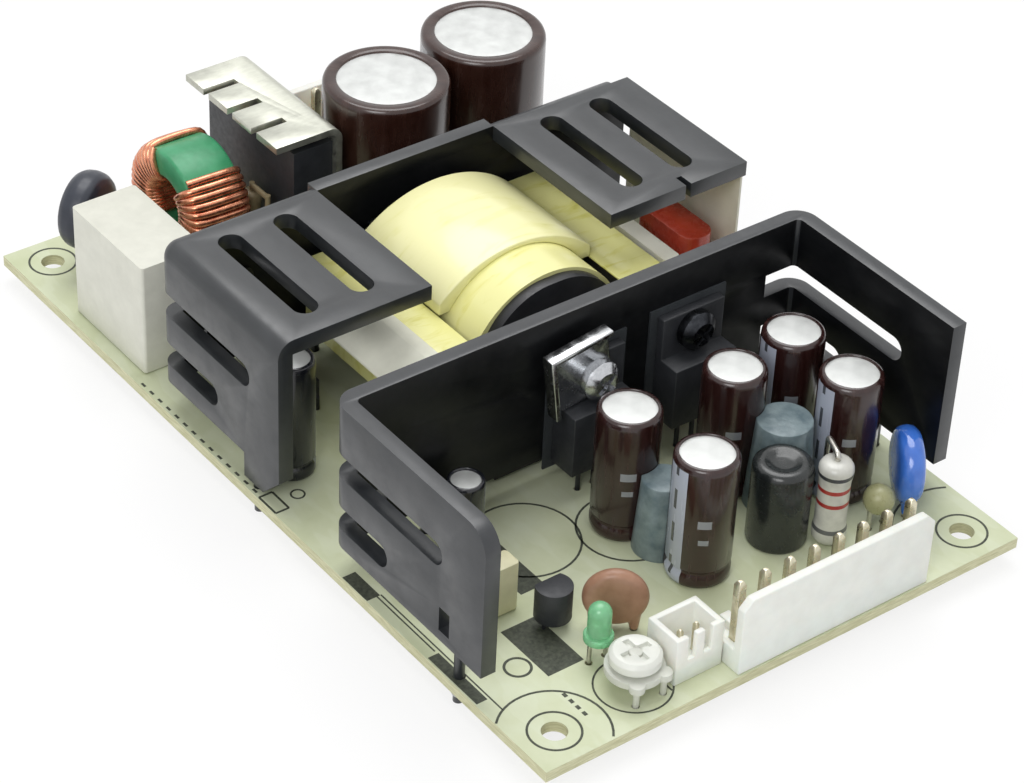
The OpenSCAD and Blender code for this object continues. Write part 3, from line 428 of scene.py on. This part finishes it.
def shrink_sleeve(name, colour, stripe=None, turn=0.0, width=17.0, marks=(), top=26.0):
    """Glossy shrunk sleeve on its own map: degrees round the can, millimetres up it."""
    f = Finish(name, 0.22, specular=0.5, on_map=True, Coat_Weight=0.3, Coat_Roughness=0.1)
    around, up = f.axis("X"), f.axis("Y")
    mottle = f.noise(9.0, 3, 0.5, f.stretched(1.0, 1.6, 1.0))
    base = f.ramp(mottle, (0.3, tone(*[max(0, c - 8) for c in colour])),
                  (0.7, tone(*[min(255, c + 10) for c in colour])))
    off = f.sum("WRAP", f.sum("SUBTRACT", around, turn), 180.0, -180.0)
    if stripe:
        inside = f.sum("MULTIPLY", f.band(off, 0, width), f.sum("LESS_THAN", up, top - 0.9))
        dash = f.sum("MULTIPLY", f.band(f.sum("MODULO", up, 5.2), 2.6, 1.5), f.band(off, 0, width * 0.16))
        base = f.mix(inside, base, tone(*stripe))
        base = f.mix(f.sum("MULTIPLY", f.sum("MULTIPLY", dash, inside), 0.85), base,
                     tone(*[c // 4 for c in colour]))
    for place, half, low, high in marks:
        bar = f.sum("MULTIPLY", f.band(f.sum("WRAP", f.sum("SUBTRACT", off, place), 180.0, -180.0), 0, half),
                    f.band(up, (low + high) / 2, (high - low) / 2))
        base = f.mix(f.sum("MULTIPLY", bar, 0.6), base, tone(176, 182, 190))
    f.colour(base)
    f.roughness(f.range(mottle, 0.3, 0.7, 0.16, 0.3))
    f.relief((f.noise(2.2, 2, 0.5, f.stretched(0.12, 1.0, 1.0)), 0.05, 0.25))
    return f.material


def can_lid(name, colour, score=2.6):
    """Pressed aluminium lid: matt rings and blotches; score is not used."""
    f = Finish(name, 0.42, 0.55, on_map=True)
    x, y = f.axis("X"), f.axis("Y")
    far = f.sum("SQRT", f.sum("ADD", f.sum("MULTIPLY", x, x), f.sum("MULTIPLY", y, y)))
    rings = f.sum("SINE", f.sum("MULTIPLY", far, 22.0))
    blotch = f.noise(2.4, 3)
    f.colour(f.ramp(blotch, (0.3, tone(*[c - 14 for c in colour])), (0.7, tone(*colour))))
    f.roughness(f.range(blotch, 0.3, 0.7, 0.36, 0.52))
    f.relief((rings, 0.01, 0.1), (blotch, 0.05, 0.2))
    return f.material


def resistor_coat():
    """Grey lacquer with four plain colour bands up the body."""
    f = Finish("resistor_lacquer", 0.35, specular=0.5, Coat_Weight=0.4, Coat_Roughness=0.15)
    up = f.sum("SUBTRACT", f.axis("Z"), BOARD_TOP + 0.3)
    base = f.ramp(f.noise(1.5, 3), (0.3, tone(190, 190, 184)), (0.7, tone(212, 212, 204)))
    for middle, colour in ((10.9, (52, 54, 60)), (8.7, (168, 44, 40)), (6.5, (166, 42, 40)), (2.4, (96, 98, 100))):
        base = f.mix(f.band(up, middle, 0.3), base, tone(*colour))
    f.colour(base)
    f.relief((f.noise(0.7, 3), 0.03, 0.25))
    return f.material


def winding_enamel():
    f = Finish("winding_enamel", 0.25, 0.85, Coat_Weight=0.6, Coat_Roughness=0.08)
    shade = f.noise(1.4, 3)
    f.colour(f.ramp(shade, (0.3, tone(196, 112, 80)), (0.7, tone(238, 166, 128))))
    f.roughness(f.range(shade, 0.3, 0.7, 0.2, 0.32))
    f.relief((f.noise(0.5, 2), 0.02, 0.2))
    return f.material


def silicone():
    f = Finish("silicone_bond", 0.3, specular=0.5, Transmission_Weight=0.35, IOR=1.41)
    cloud = f.noise(1.8, 3)
    f.colour(f.ramp(cloud, (0.3, tone(112, 132, 140)), (0.7, tone(160, 178, 182))))
    f.relief((f.noise(1.2, 3), 0.25, 0.5))
    return f.material


def ink():
    f = Finish("marking_ink", 0.6, specular=0.3)
    f.colour(f.ramp(f.noise(0.5, 3), (0.3, tone(58, 62, 54)), (0.7, tone(86, 90, 78))))
    f.relief((f.noise(0.3, 2), 0.01, 0.3))
    return f.material


BOARD = board_laminate()
OUT_SHEET = black_sheet("black_output_sheet")
IN_SHEET = black_sheet("black_input_sheet", (36, 39, 42))
# Darker, duller copy of the same black sheet for the inward faces: painted shade, since the real inside is the same
# anodised sheet.
SHADED_SHEET_INSIDE = black_sheet("black_sheet_painted_shade", (14, 15, 17), 0.22)
BLACK_OXIDE = metal("black_oxide_screw", (58, 60, 64), 0.3)
BRACKET = metal("bracket_tinplate", (196, 197, 186), 0.45, 10, (1, 0.3, 1))
STEEL = metal("screw_plate", (196, 198, 202), 0.22)
CLIP = metal("clip_plate", (206, 208, 210), 0.2, 12, (1, 0.4, 1))
TINNED = metal("tinned_wire", (196, 194, 186), 0.3)
PIN_TIN = metal("pin_tin", (214, 208, 184), 0.3)
SOLDER = metal("solder", (186, 188, 190), 0.28)
PACKAGE = moulded("moulded_package", (40, 42, 46), 5, 0.5)
PAD = moulded("thermal_pad", (46, 50, 54), 6, 0.6)
FERRITE = ferrite()
BOBBIN = moulded("bobbin_black", (34, 35, 38), 5, 0.42)
# The third tone of each tape is the painted shade of its folds.
OUTER_TAPE = tape("outer_tape", (248, 245, 186), (242, 239, 170), (226, 222, 130))
LEG_TAPE = tape("leg_tape", (240, 237, 160), (226, 222, 124), (196, 192, 84))
INNER_TAPE = tape("inner_tape", (244, 241, 170), (234, 230, 144), (206, 200, 96))
LABEL = moulded("label_paper", (238, 238, 222), 5, 0.6)
BULK = shrink_sleeve("bulk_sleeve", (52, 29, 22))
BULK_REAR = shrink_sleeve("bulk_sleeve_striped", (52, 29, 22), (160, 160, 164), -118, 20)
OUT_PLAIN = shrink_sleeve("output_sleeve", (44, 22, 20), None, 0, 17, ((-35, 14, 10.0, 11.2), (-35, 10, 7.6, 8.4)), 18.8)
OUT_STRIPED = shrink_sleeve("output_sleeve_striped", (44, 22, 20), (178, 184, 200), -96, 24,
                            ((60, 12, 9.8, 11.0), (60, 9, 7.2, 8.0)), 18.8)
BIAS = shrink_sleeve("bias_sleeve", (24, 26, 34), (150, 156, 170), 60, 22, (), 11.2)
LID = can_lid("can_lid", (212, 214, 212))
DRUM = moulded("drum_coating", (32, 36, 36), 5, 0.22, specular=0.6)
RESISTOR = resistor_coat()
BLUE = moulded("blue_dip", (58, 112, 206), 10, 0.16, 0.6, 0.6, Coat_Weight=0.5, Coat_Roughness=0.06)
OLIVE = moulded("olive_dip", (160, 160, 120), 10, 0.3, 0.5)
TAN = moulded("tan_dip", (164, 124, 100), 12, 0.35, 0.5)
NAVY = moulded("navy_dip", (34, 54, 124), 8, 0.2, 0.5)
RED = moulded("red_dip", (166, 56, 36), 10, 0.25, 0.5)
SLATE = moulded("slate_dip", (44, 48, 58), 6, 0.35, 0.4)
GREY_CASE = moulded("grey_case", (216, 216, 204), 5, 0.45)
WHITE_CASE = moulded("white_case", (234, 232, 218), 5, 0.45)
CREAM_CASE = moulded("cream_case", (226, 222, 184), 6, 0.45)
NYLON = moulded("header_nylon", (240, 240, 232), 4, 0.4, Subsurface_Weight=0.12)
TRIM_WHITE = moulded("trimmer_plastic", (226, 228, 218), 5, 0.4, Transmission_Weight=0.2)
DIAL_WHITE = moulded("dial_plastic", (240, 242, 234), 4, 0.35, Transmission_Weight=0.15)
LENS = moulded("green_lens", (150, 224, 172), 8, 0.16, Transmission_Weight=0.4)
GREEN = moulded("choke_paint", (62, 150, 104), 10, 0.38, 0.4)
COPPER = winding_enamel()
FUSE = moulded("fuse_body", (158, 144, 112), 8, 0.35)
FILM = moulded("insulation_sheet", (238, 236, 220), 5, 0.35, Transmission_Weight=0.2)
SILICONE = silicone()
INK = ink()


# ---- CAD solids that keep their shape ----

def paint(node, finish):
    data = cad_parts[node].data
    data.materials.clear()
    data.materials.append(finish)


for node, finish in (("circuit_board", BOARD), ("solder_joints", SOLDER), ("device_pads", PAD),
                     ("transformer_winding", INNER_TAPE), ("insulation_film", FILM)):
    paint(node, finish)

# The inward faces picked below get the darker sheet copy as painted shade.
softened("output_heatsink", 0.22, OUT_SHEET, other=SHADED_SHEET_INSIDE,
         where=lambda spot, facing: (facing.x > 0.9 and spot.x < 22) or (facing.y < -0.9 and 30 < spot.y < 36))
softened("input_heatsink", 0.22, IN_SHEET, other=SHADED_SHEET_INSIDE,
         where=lambda spot, facing: facing.x > 0.9 and spot.x < -18 and abs(spot.y) < 37)
softened("bridge_heatsink", 0.12, BRACKET)
for node in ("output_rectifier", "second_rectifier", "primary_switch_a", "primary_switch_b"):
    softened(node, 0.15, PACKAGE)
softened("rectifier_clip", 0.12, CLIP)
softened("heatsink_screws", 0.1, STEEL, other=BLACK_OXIDE,
         where=lambda spot, facing: spot.y > 8 or spot.x < 0)
for node in ("transformer_core_a", "transformer_core_b"):
    softened(node, 0.5, FERRITE)
softened("transformer_bobbin", 0.2, BOBBIN)
softened("transformer_tape", 0.2, OUTER_TAPE)
softened("core_tape", 0.12, LEG_TAPE)
softened("transformer_label", 0.08, LABEL)
softened("interference_capacitor", 0.35, GREY_CASE)
softened("small_film_capacitor", 0.3, CREAM_CASE)
softened("box_capacitor", 0.3, WHITE_CASE)
softened("red_film_capacitor", 0.8, RED, 3)
softened("optocoupler", 0.2, WHITE_CASE)
softened("control_ic", 0.2, PACKAGE)
softened("regulator", 0.2, PACKAGE)
softened("bridge_rectifier", 0.4, PACKAGE)
softened("choke_base", 0.3, BOBBIN)
softened("input_fuse", 0.1, FUSE)
softened("output_header", 0.18, NYLON)
softened("input_header", 0.18, NYLON)
softened("fan_header", 0.15, NYLON)
softened("output_pins", 0.08, PIN_TIN)
softened("input_pins", 0.08, PIN_TIN)
softened("fan_pins", 0.06, PIN_TIN)
softened("trimmer_body", 0.15, TRIM_WHITE)
softened("trimmer_dial", 0.1, DIAL_WHITE, body="dial")
softened("glue_fillets", 0.4, SILICONE)


# ---- turned parts ----

def can_profile(d, h, lid=0.78):
    r = d / 2
    roll = min(0.7, r / 6)
    crimp = 2.2
    sleeve = [(0.001, 0.0), (r - roll, 0.0), (r - 0.25 * roll, 0.3 * roll), (r, roll), (r, crimp - roll),
              (r - 0.4 * roll, crimp - 0.35 * roll), (r - 0.5 * roll, crimp), (r - 0.4 * roll, crimp + 0.35 * roll),
              (r, crimp + roll), (r, h - 1.6 * roll), (r - 0.06 * roll, h - 0.9 * roll),
              (r - 0.3 * roll, h - 0.32 * roll), (r - 0.7 * roll, h - 0.06 * roll), (r - roll, h),
              (r * lid + 0.12, h - 0.02), (r * lid, h - 0.12)]
    metal_part = [(r * lid - 0.02, h - 0.3), (r * lid - 0.5, h - 0.24), (r * 0.4, h - 0.2), (0.001, h - 0.18)]
    return [(a, b, 0) for a, b in sleeve] + [(a, b, 1) for a, b in metal_part]


def electrolytic(node, x, y, d, h, sleeve, pitch, steps=72, lid=0.78):
    bm = bmesh.new()
    turned(bm, can_profile(d, h, lid), at(x, y), steps, uv=True)
    for side in (-1, 1):
        pin(bm, x, y + side * pitch / 2, -BOARD_TOP, 0.3, 0.8, 2)
    finished(bm, node + "_can", [sleeve, LID, TINNED], (node,), crease=50)


electrolytic("bulk_capacitor_a", -38.2, 9.9, 18, 26.4, BULK, 7.5, 96)
electrolytic("bulk_capacitor_b", -41.1, 28.8, 18, 26.4, BULK_REAR, 7.5, 96)
for letter, x, y, sleeve in (("a", 32.4, -2.3, OUT_PLAIN), ("b", 44.9, -0.1, OUT_STRIPED),
                             ("c", 33.2, 14.2, OUT_PLAIN), ("d", 31.4, 25.6, OUT_STRIPED),
                             ("e", 42.5, 25.8, OUT_STRIPED)):
    electrolytic("output_capacitor_" + letter, x, y, 8.5, 18.8, sleeve, 3.5, lid=0.83)
electrolytic("bias_capacitor", 25, -22, 5, 11.2, BIAS, 2.5)
electrolytic("startup_capacitor", -0.6, -31.0, 6.3, 18, BIAS, 2.5)


def drum():
    bm = bmesh.new()
    r, h = 4.0, 12.6
    turned(bm, [(0.001, 0, 0), (r - 0.5, 0, 0), (r - 0.12, 0.15, 0), (r, 0.5, 0), (r, h - 1.3, 0),
                (r - 0.15, h - 0.75, 0), (r - 0.6, h - 0.3, 0), (r - 1.2, h - 0.2, 0), (r - 1.7, h - 0.28, 0),
                (r - 2.2, h - 0.6, 0), (r - 2.9, h - 0.7, 0), (0.001, h - 0.7, 0)], at(45.6, 12.4), 64)
    for side in (-1, 1):
        pin(bm, 45.6, 12.4 + side * 2, -BOARD_TOP, 0.3, 0.8, 1)
    finished(bm, "output_inductor_drum", [DRUM, TINNED], ("output_inductor",), crease=50)


def standing_resistor():
    bm = bmesh.new()
    r, l, lift = 2.3, 12.6, 0.3
    ends = [(0.001, 0), (1.2, 0.02), (1.9, 0.25), (2.24, 0.8), (r, 1.4), (2.26, 2.1), (2.12, 2.8), (2.08, 3.6)]
    profile = [(a, b + lift, 0) for a, b in ends] + [(a, l - b + lift, 0) for a, b in reversed(ends)]
    turned(bm, profile, at(49.9, 17.5), 48)
    x, y, z = 49.9, 17.5, lift + l
    added(bm, wire([(x, y, z - 0.6), (x, y, z), (x, y, z + 0.5), (x - 0.3, y + 0.13, z + 0.95), (x - 1.2, y + 0.5, z + 0.95),
                    (x - 2.6, y + 1.1, z + 0.9), (x - 3.5, y + 1.55, z + 0.7), (x - 3.6, y + 1.6, z - 0.4),
                    (x - 3.6, y + 1.6, z - 3), (x - 3.6, y + 1.6, 4), (x - 3.6, y + 1.6, -BOARD_TOP)], 0.8, "bent"), 1)
    pin(bm, x, y, -BOARD_TOP, 0.5, 0.8, 1)
    finished(bm, "load_resistor_body", [RESISTOR, TINNED], ("load_resistor",), crease=60)


def dipped(node, x, y, angle, d, t, pitch, lift, finish, legs=2.4):
    """Dipped disc: one skin over the disc and the tops of its two leads."""
    bm = bmesh.new()
    r, half = d / 2, t / 2
    face = [(0.001, half), (r * 0.45, half * 0.98), (r * 0.72, half * 0.92), (r * 0.88, half * 0.78),
            (r * 0.97, half * 0.45), (r, 0)]
    profile = [(a, b, 0) for a, b in face] + [(a, -b, 0) for a, b in reversed(face[:-1])]
    turned(bm, profile, at(x, y, lift + r, angle, 90), 56)
    for side in (-1, 1):
        a = rad(angle)
        px, py = x + side * pitch / 2 * math.cos(a), y + side * pitch / 2 * math.sin(a)
        low, high = max(lift - 0.9, 0.15), lift + r * 0.55
        cone = bmesh.ops.create_cone(bm, cap_ends=True, segments=16, radius1=0.62, radius2=0.95,
                                     depth=high - low, matrix=Matrix.Translation((0, 0, (low + high) / 2)))
        bmesh.ops.transform(bm, matrix=at(px, py), verts=cone["verts"])
    bmesh.ops.recalc_face_normals(bm, faces=bm.faces)
    skin = applied(loose(bm, "skin"), ("REMESH", {"mode": "VOXEL", "voxel_size": 0.22 * MM}),
                   ("SMOOTH", {"factor": 0.5, "iterations": 6}))
    bm = bmesh.new()
    added(bm, skin)
    for side in (-1, 1):
        pin(bm, x + side * pitch / 2 * math.cos(rad(angle)), y + side * pitch / 2 * math.sin(rad(angle)),
            -BOARD_TOP, lift, 0.8, 1)
    finished(bm, node + "_dip", [finish, TINNED], (node,), crease=70)


def bead():
    bm = bmesh.new()
    ball = bmesh.ops.create_uvsphere(bm, u_segments=32, v_segments=20, radius=2.1,
                                     matrix=Matrix.Translation((0, 0, 4.3)) @ Matrix.Diagonal((1, 1, 1, 1)))
    bmesh.ops.transform(bm, matrix=at(51.2, 24.6), verts=ball["verts"])
    for side in (-1, 1):
        pin(bm, 51.2, 24.6 + side * 1.27, -BOARD_TOP, 3.6, 0.8, 1)
    finished(bm, "bead_capacitor_dip", [OLIVE, TINNED], ("bead_capacitor",), crease=60)


def led():
    bm = bmesh.new()
    dome = [(1.5 * math.cos(rad(a)), 4.2 + 3.2 + 1.5 * math.sin(rad(a)), 0) for a in range(0, 90, 12)]
    turned(bm, [(0.001, 3.2, 0), (1.85, 3.2, 0), (1.9, 3.3, 0), (1.9, 4.1, 0), (1.82, 4.2, 0), (1.5, 4.22, 0)]
           + dome + [(0.001, 8.9, 0)], at(51.2, -21), 40)
    for side in (-1, 1):
        pin(bm, 51.2, -21 + side * 1.27, -BOARD_TOP, 3.4, 0.6, 1)
    block(bm, (1.1, 0.5, 2.2), at(51.2, -21.5, 5.0), 1, 0.08)
    finished(bm, "status_led_lens", [LENS, TINNED], ("status_led",), crease=40)


drum()
standing_resistor()
dipped("blue_disc_capacitor", 49.9, 30.3, -32, 10.4, 3.6, 5, 1.4, BLUE)
dipped("small_disc_capacitor", 3.4, 23.05, 0, 9.6, 2, 5, 6.2, NAVY)
dipped("tan_disc_capacitor", 47.8, -15.8, 52, 8.4, 2.4, 5, 0.9, TAN)
dipped("inrush_thermistor", -54.9, -29.0, -60, 11.4, 5, 5, 3.6, SLATE)
bead()
led()


# ---- choke ----

def choke():
    x, y, z = -46.9, -17, 11.6
    outer, bore, half = 8.2, 4.3, 4.1
    bm = bmesh.new()
    c = 0.5
    profile = [(bore, -half + c), (bore + c * 0.3, -half + c * 0.3), (bore + c, -half), (outer - c, -half),
               (outer - c * 0.3, -half + c * 0.3), (outer, -half + c), (outer, half - c), (outer - c * 0.3, half - c * 0.3),
               (outer - c, half), (bore + c, half), (bore + c * 0.3, half - c * 0.3), (bore, half - c), (bore, -half + c)]
    turned(bm, [(a, b, 0) for a, b in profile], at(x, y, z, 0, 90), 80)
    finished(bm, "choke_ring", [GREEN], ("choke_core",), crease=50)

    bm = bmesh.new()
    turns, sector, d = 15, 118, 1.1
    lean = -10
    for side in (0, 180):
        points = []
        per = 10
        for i in range(turns * per + 1):
            share = i / (turns * per)
            theta = rad(side + lean + (share - 0.5) * sector)
            phase = 2 * math.pi * i / per + math.pi / 4
            mid = (outer + bore) / 2
            cx, cz = math.cos(phase), math.sin(phase)
            power = 0.45
            stack = 0.45 * (1 + math.sin(i * 2.4)) * (cx < 0) + 0.12 * math.sin(i * 1.7)
            radial = mid + ((outer - bore) / 2 + d / 2 + stack * 0.5) * math.copysign(abs(cx) ** power, cx)
            axial = (half + d / 2) * math.copysign(abs(cz) ** power, cz)
            points.append((x + radial * math.cos(theta), y - axial, z + radial * math.sin(theta)))
        low = points[0] if points[0][2] < points[-1][2] else points[-1]
        added(bm, wire(points, d, "turns", resolution=3))
    for sx in (-1, 1):
        for sy in (-1, 1):
            pin(bm, x + sx * 6, y + sy * 4.65, -BOARD_TOP, 5.6, 0.9, 0)
    finished(bm, "choke_turns", [COPPER], ("choke_windings",), crease=60)


choke()


# ---- printed outlines on the board ----

def line(bm, x0, y0, x1, y1, w=0.3):
    length = math.hypot(x1 - x0, y1 - y0)
    block(bm, (length, w, 0.03), at((x0 + x1) / 2, (y0 + y1) / 2, 0.02, math.degrees(math.atan2(y1 - y0, x1 - x0))))


def ring(bm, x, y, r, w=0.3, start=0, stop=360):
    steps = max(4, int(abs(stop - start) / 8))
    for i in range(steps):
        a, b = rad(start + (stop - start) * i / steps), rad(start + (stop - start) * (i + 1) / steps)
        line(bm, x + r * math.cos(a), y + r * math.sin(a), x + r * math.cos(b), y + r * math.sin(b), w)


def field(bm, x0, y0, x1, y1):
    block(bm, (x1 - x0, y1 - y0, 0.03), at((x0 + x1) / 2, (y0 + y1) / 2, 0.02))


def markings():
    bm = bmesh.new()
    for sx in (-1, 1):
        for sy in (-1, 1):
            ring(bm, sx * 58.42, sy * 33.02, 3.3)
    ring(bm, 58.42, -33.02, 7.0, 0.3, 48, 225)
    ring(bm, 58.42, 33.02, 9.0, 0.3, 150, 245)
    ring(bm, 47.0, -29.9, 1.67, 0.35)
    field(bm, 40.7, -27.8, 50.4, -22.4)
    field(bm, 21.3, -38.0, 26.7, -36.05)
    for x0, y0, x1, y1 in ((2.2, -37.9, 6.1, -37.9), (6.1, -37.9, 6.1, -35.9), (6.1, -35.9, 2.2, -35.9),
                           (2.2, -35.9, 2.2, -37.9)):
        line(bm, x0, y0, x1, y1)
    ring(bm, 4.4, -33.4, 0.9, 0.25)
    line(bm, 26.7, -35.9, 52, -35.9, 0.2)
    line(bm, 26.7, -36.5, 39, -36.5, 0.2)
    field(bm, 39.5, -37.9, 49.5, -36.3)
    ring(bm, 28.2, -14.7, 7.3)
    ring(bm, 33.6, -2.2, 6.7)
    field(bm, 23.5, -21.5, 36.5, -17.8)
    for i in range(14):
        x = -27 + i * 2.1
        line(bm, x, -37.6, x + 0.9, -37.6, 0.35)
    line(bm, 63.0, -8.2, 63.0, 22.4, 0.25)
    line(bm, 54.4, -17.0, 60.8, -17.0, 0.25)
    line(bm, 54.4, -17.0, 54.4, -8.6, 0.25)
    ring(bm, 57.4, -20.3, 4.9, 0.25)
    for i in range(4):
        line(bm, 53.8 + i * 1.3, -28.2, 54.5 + i * 1.3, -28.2, 0.5)
    finished(bm, "board_markings", [INK])


markings()


# ---- floor, light and camera ----

def stage():
    bm = bmesh.new()
    bmesh.ops.create_grid(bm, x_segments=1, y_segments=1, size=3.0, matrix=Matrix.Translation((0, 0, -0.0002)))
    mesh = bpy.data.meshes.new("floor")
    bm.to_mesh(mesh)
    bm.free()
    f = Finish("floor_white", 0.9, specular=0.1)
    f.colour(f.ramp(f.noise(400, 2), (0.3, tone(250, 250, 250)), (0.7, tone(252, 252, 252))))
    tree = f.tree
    path = tree.nodes.new("ShaderNodeLightPath")
    glow = tree.nodes.new("ShaderNodeEmission")
    glow.inputs["Strength"].default_value = 1.0
    blend = tree.nodes.new("ShaderNodeMixShader")
    out = next(n for n in tree.nodes if n.bl_idname == "ShaderNodeOutputMaterial")
    seen = f.sum("MAXIMUM", path.outputs["Is Camera Ray"], path.outputs["Is Glossy Ray"])
    seen = f.sum("MAXIMUM", seen, path.outputs["Is Transmission Ray"])
    f.join(f.sum("MULTIPLY", seen, 0.8), blend.inputs[0])
    f.join(f.surface.outputs[0], blend.inputs[1])
    f.join(glow.outputs[0], blend.inputs[2])
    f.join(blend.outputs[0], out.inputs[0])
    mesh.materials.append(f.material)
    floor = bpy.data.objects.new("floor", mesh)
    bpy.context.scene.collection.objects.link(floor)

    world = bpy.data.worlds.new("studio")
    bpy.context.scene.world = world
    world.use_nodes = True
    tree = world.node_tree
    tree.nodes.clear()
    out = tree.nodes.new("ShaderNodeOutputWorld")
    soft = tree.nodes.new("ShaderNodeBackground")
    soft.inputs["Color"].default_value = (1, 1, 1, 1)
    soft.inputs["Strength"].default_value = 0.42
    white = tree.nodes.new("ShaderNodeBackground")
    white.inputs["Color"].default_value = (1, 1, 1, 1)
    white.inputs["Strength"].default_value = 1.0
    path = tree.nodes.new("ShaderNodeLightPath")
    most = tree.nodes.new("ShaderNodeMath")
    most.operation = "MAXIMUM"
    more = tree.nodes.new("ShaderNodeMath")
    more.operation = "MAXIMUM"
    blend = tree.nodes.new("ShaderNodeMixShader")
    tree.links.new(path.outputs["Is Camera Ray"], most.inputs[0])
    tree.links.new(path.outputs["Is Glossy Ray"], most.inputs[1])
    tree.links.new(most.outputs[0], more.inputs[0])
    tree.links.new(path.outputs["Is Transmission Ray"], more.inputs[1])
    tree.links.new(more.outputs[0], blend.inputs[0])
    tree.links.new(soft.outputs[0], blend.inputs[1])
    tree.links.new(white.outputs[0], blend.inputs[2])
    tree.links.new(blend.outputs[0], out.inputs[0])


def lamp(name, place, size, power):
    light = bpy.data.lights.new(name, "AREA")
    light.shape = "DISK"
    light.size = size
    light.energy = power
    holder = bpy.data.objects.new(name, light)
    holder.location = place
    holder.rotation_euler = (Vector((0, 0, 0.015)) - Vector(place)).to_track_quat("-Z", "Y").to_euler()
    bpy.context.scene.collection.objects.link(holder)


def camera(azimuth, elevation, roll, target, distance, lens):
    a, e, t = rad(azimuth), rad(elevation), rad(roll)
    back = Vector((math.sin(a) * math.cos(e), -math.cos(a) * math.cos(e), math.sin(e)))
    level = Vector((0, 0, 1)).cross(back).normalized()
    rise = back.cross(level)
    right = level * math.cos(t) + rise * math.sin(t)
    up = rise * math.cos(t) - level * math.sin(t)
    data = bpy.data.cameras.new("camera")
    data.sensor_fit = "HORIZONTAL"
    data.sensor_width = 36
    data.lens = lens
    data.clip_start = 0.01
    data.clip_end = 20
    holder = bpy.data.objects.new("camera", data)
    bpy.context.scene.collection.objects.link(holder)
    world = Matrix((right, up, back)).transposed().to_4x4()
    world.translation = Vector(target) * MM + back * distance * MM
    holder.matrix_world = world
    bpy.context.scene.camera = holder


stage()
lamp("overhead", (-0.25, 0.15, 0.9), 0.8, 6.0)
lamp("front", (0.5, -0.75, 0.7), 0.6, 4.2)
camera(51.523, 37.017, 2.779, (2.2431, 2.7286, BOARD_TOP), 426.24, 110.99)
bpy.context.scene.view_settings.view_transform = "Standard"
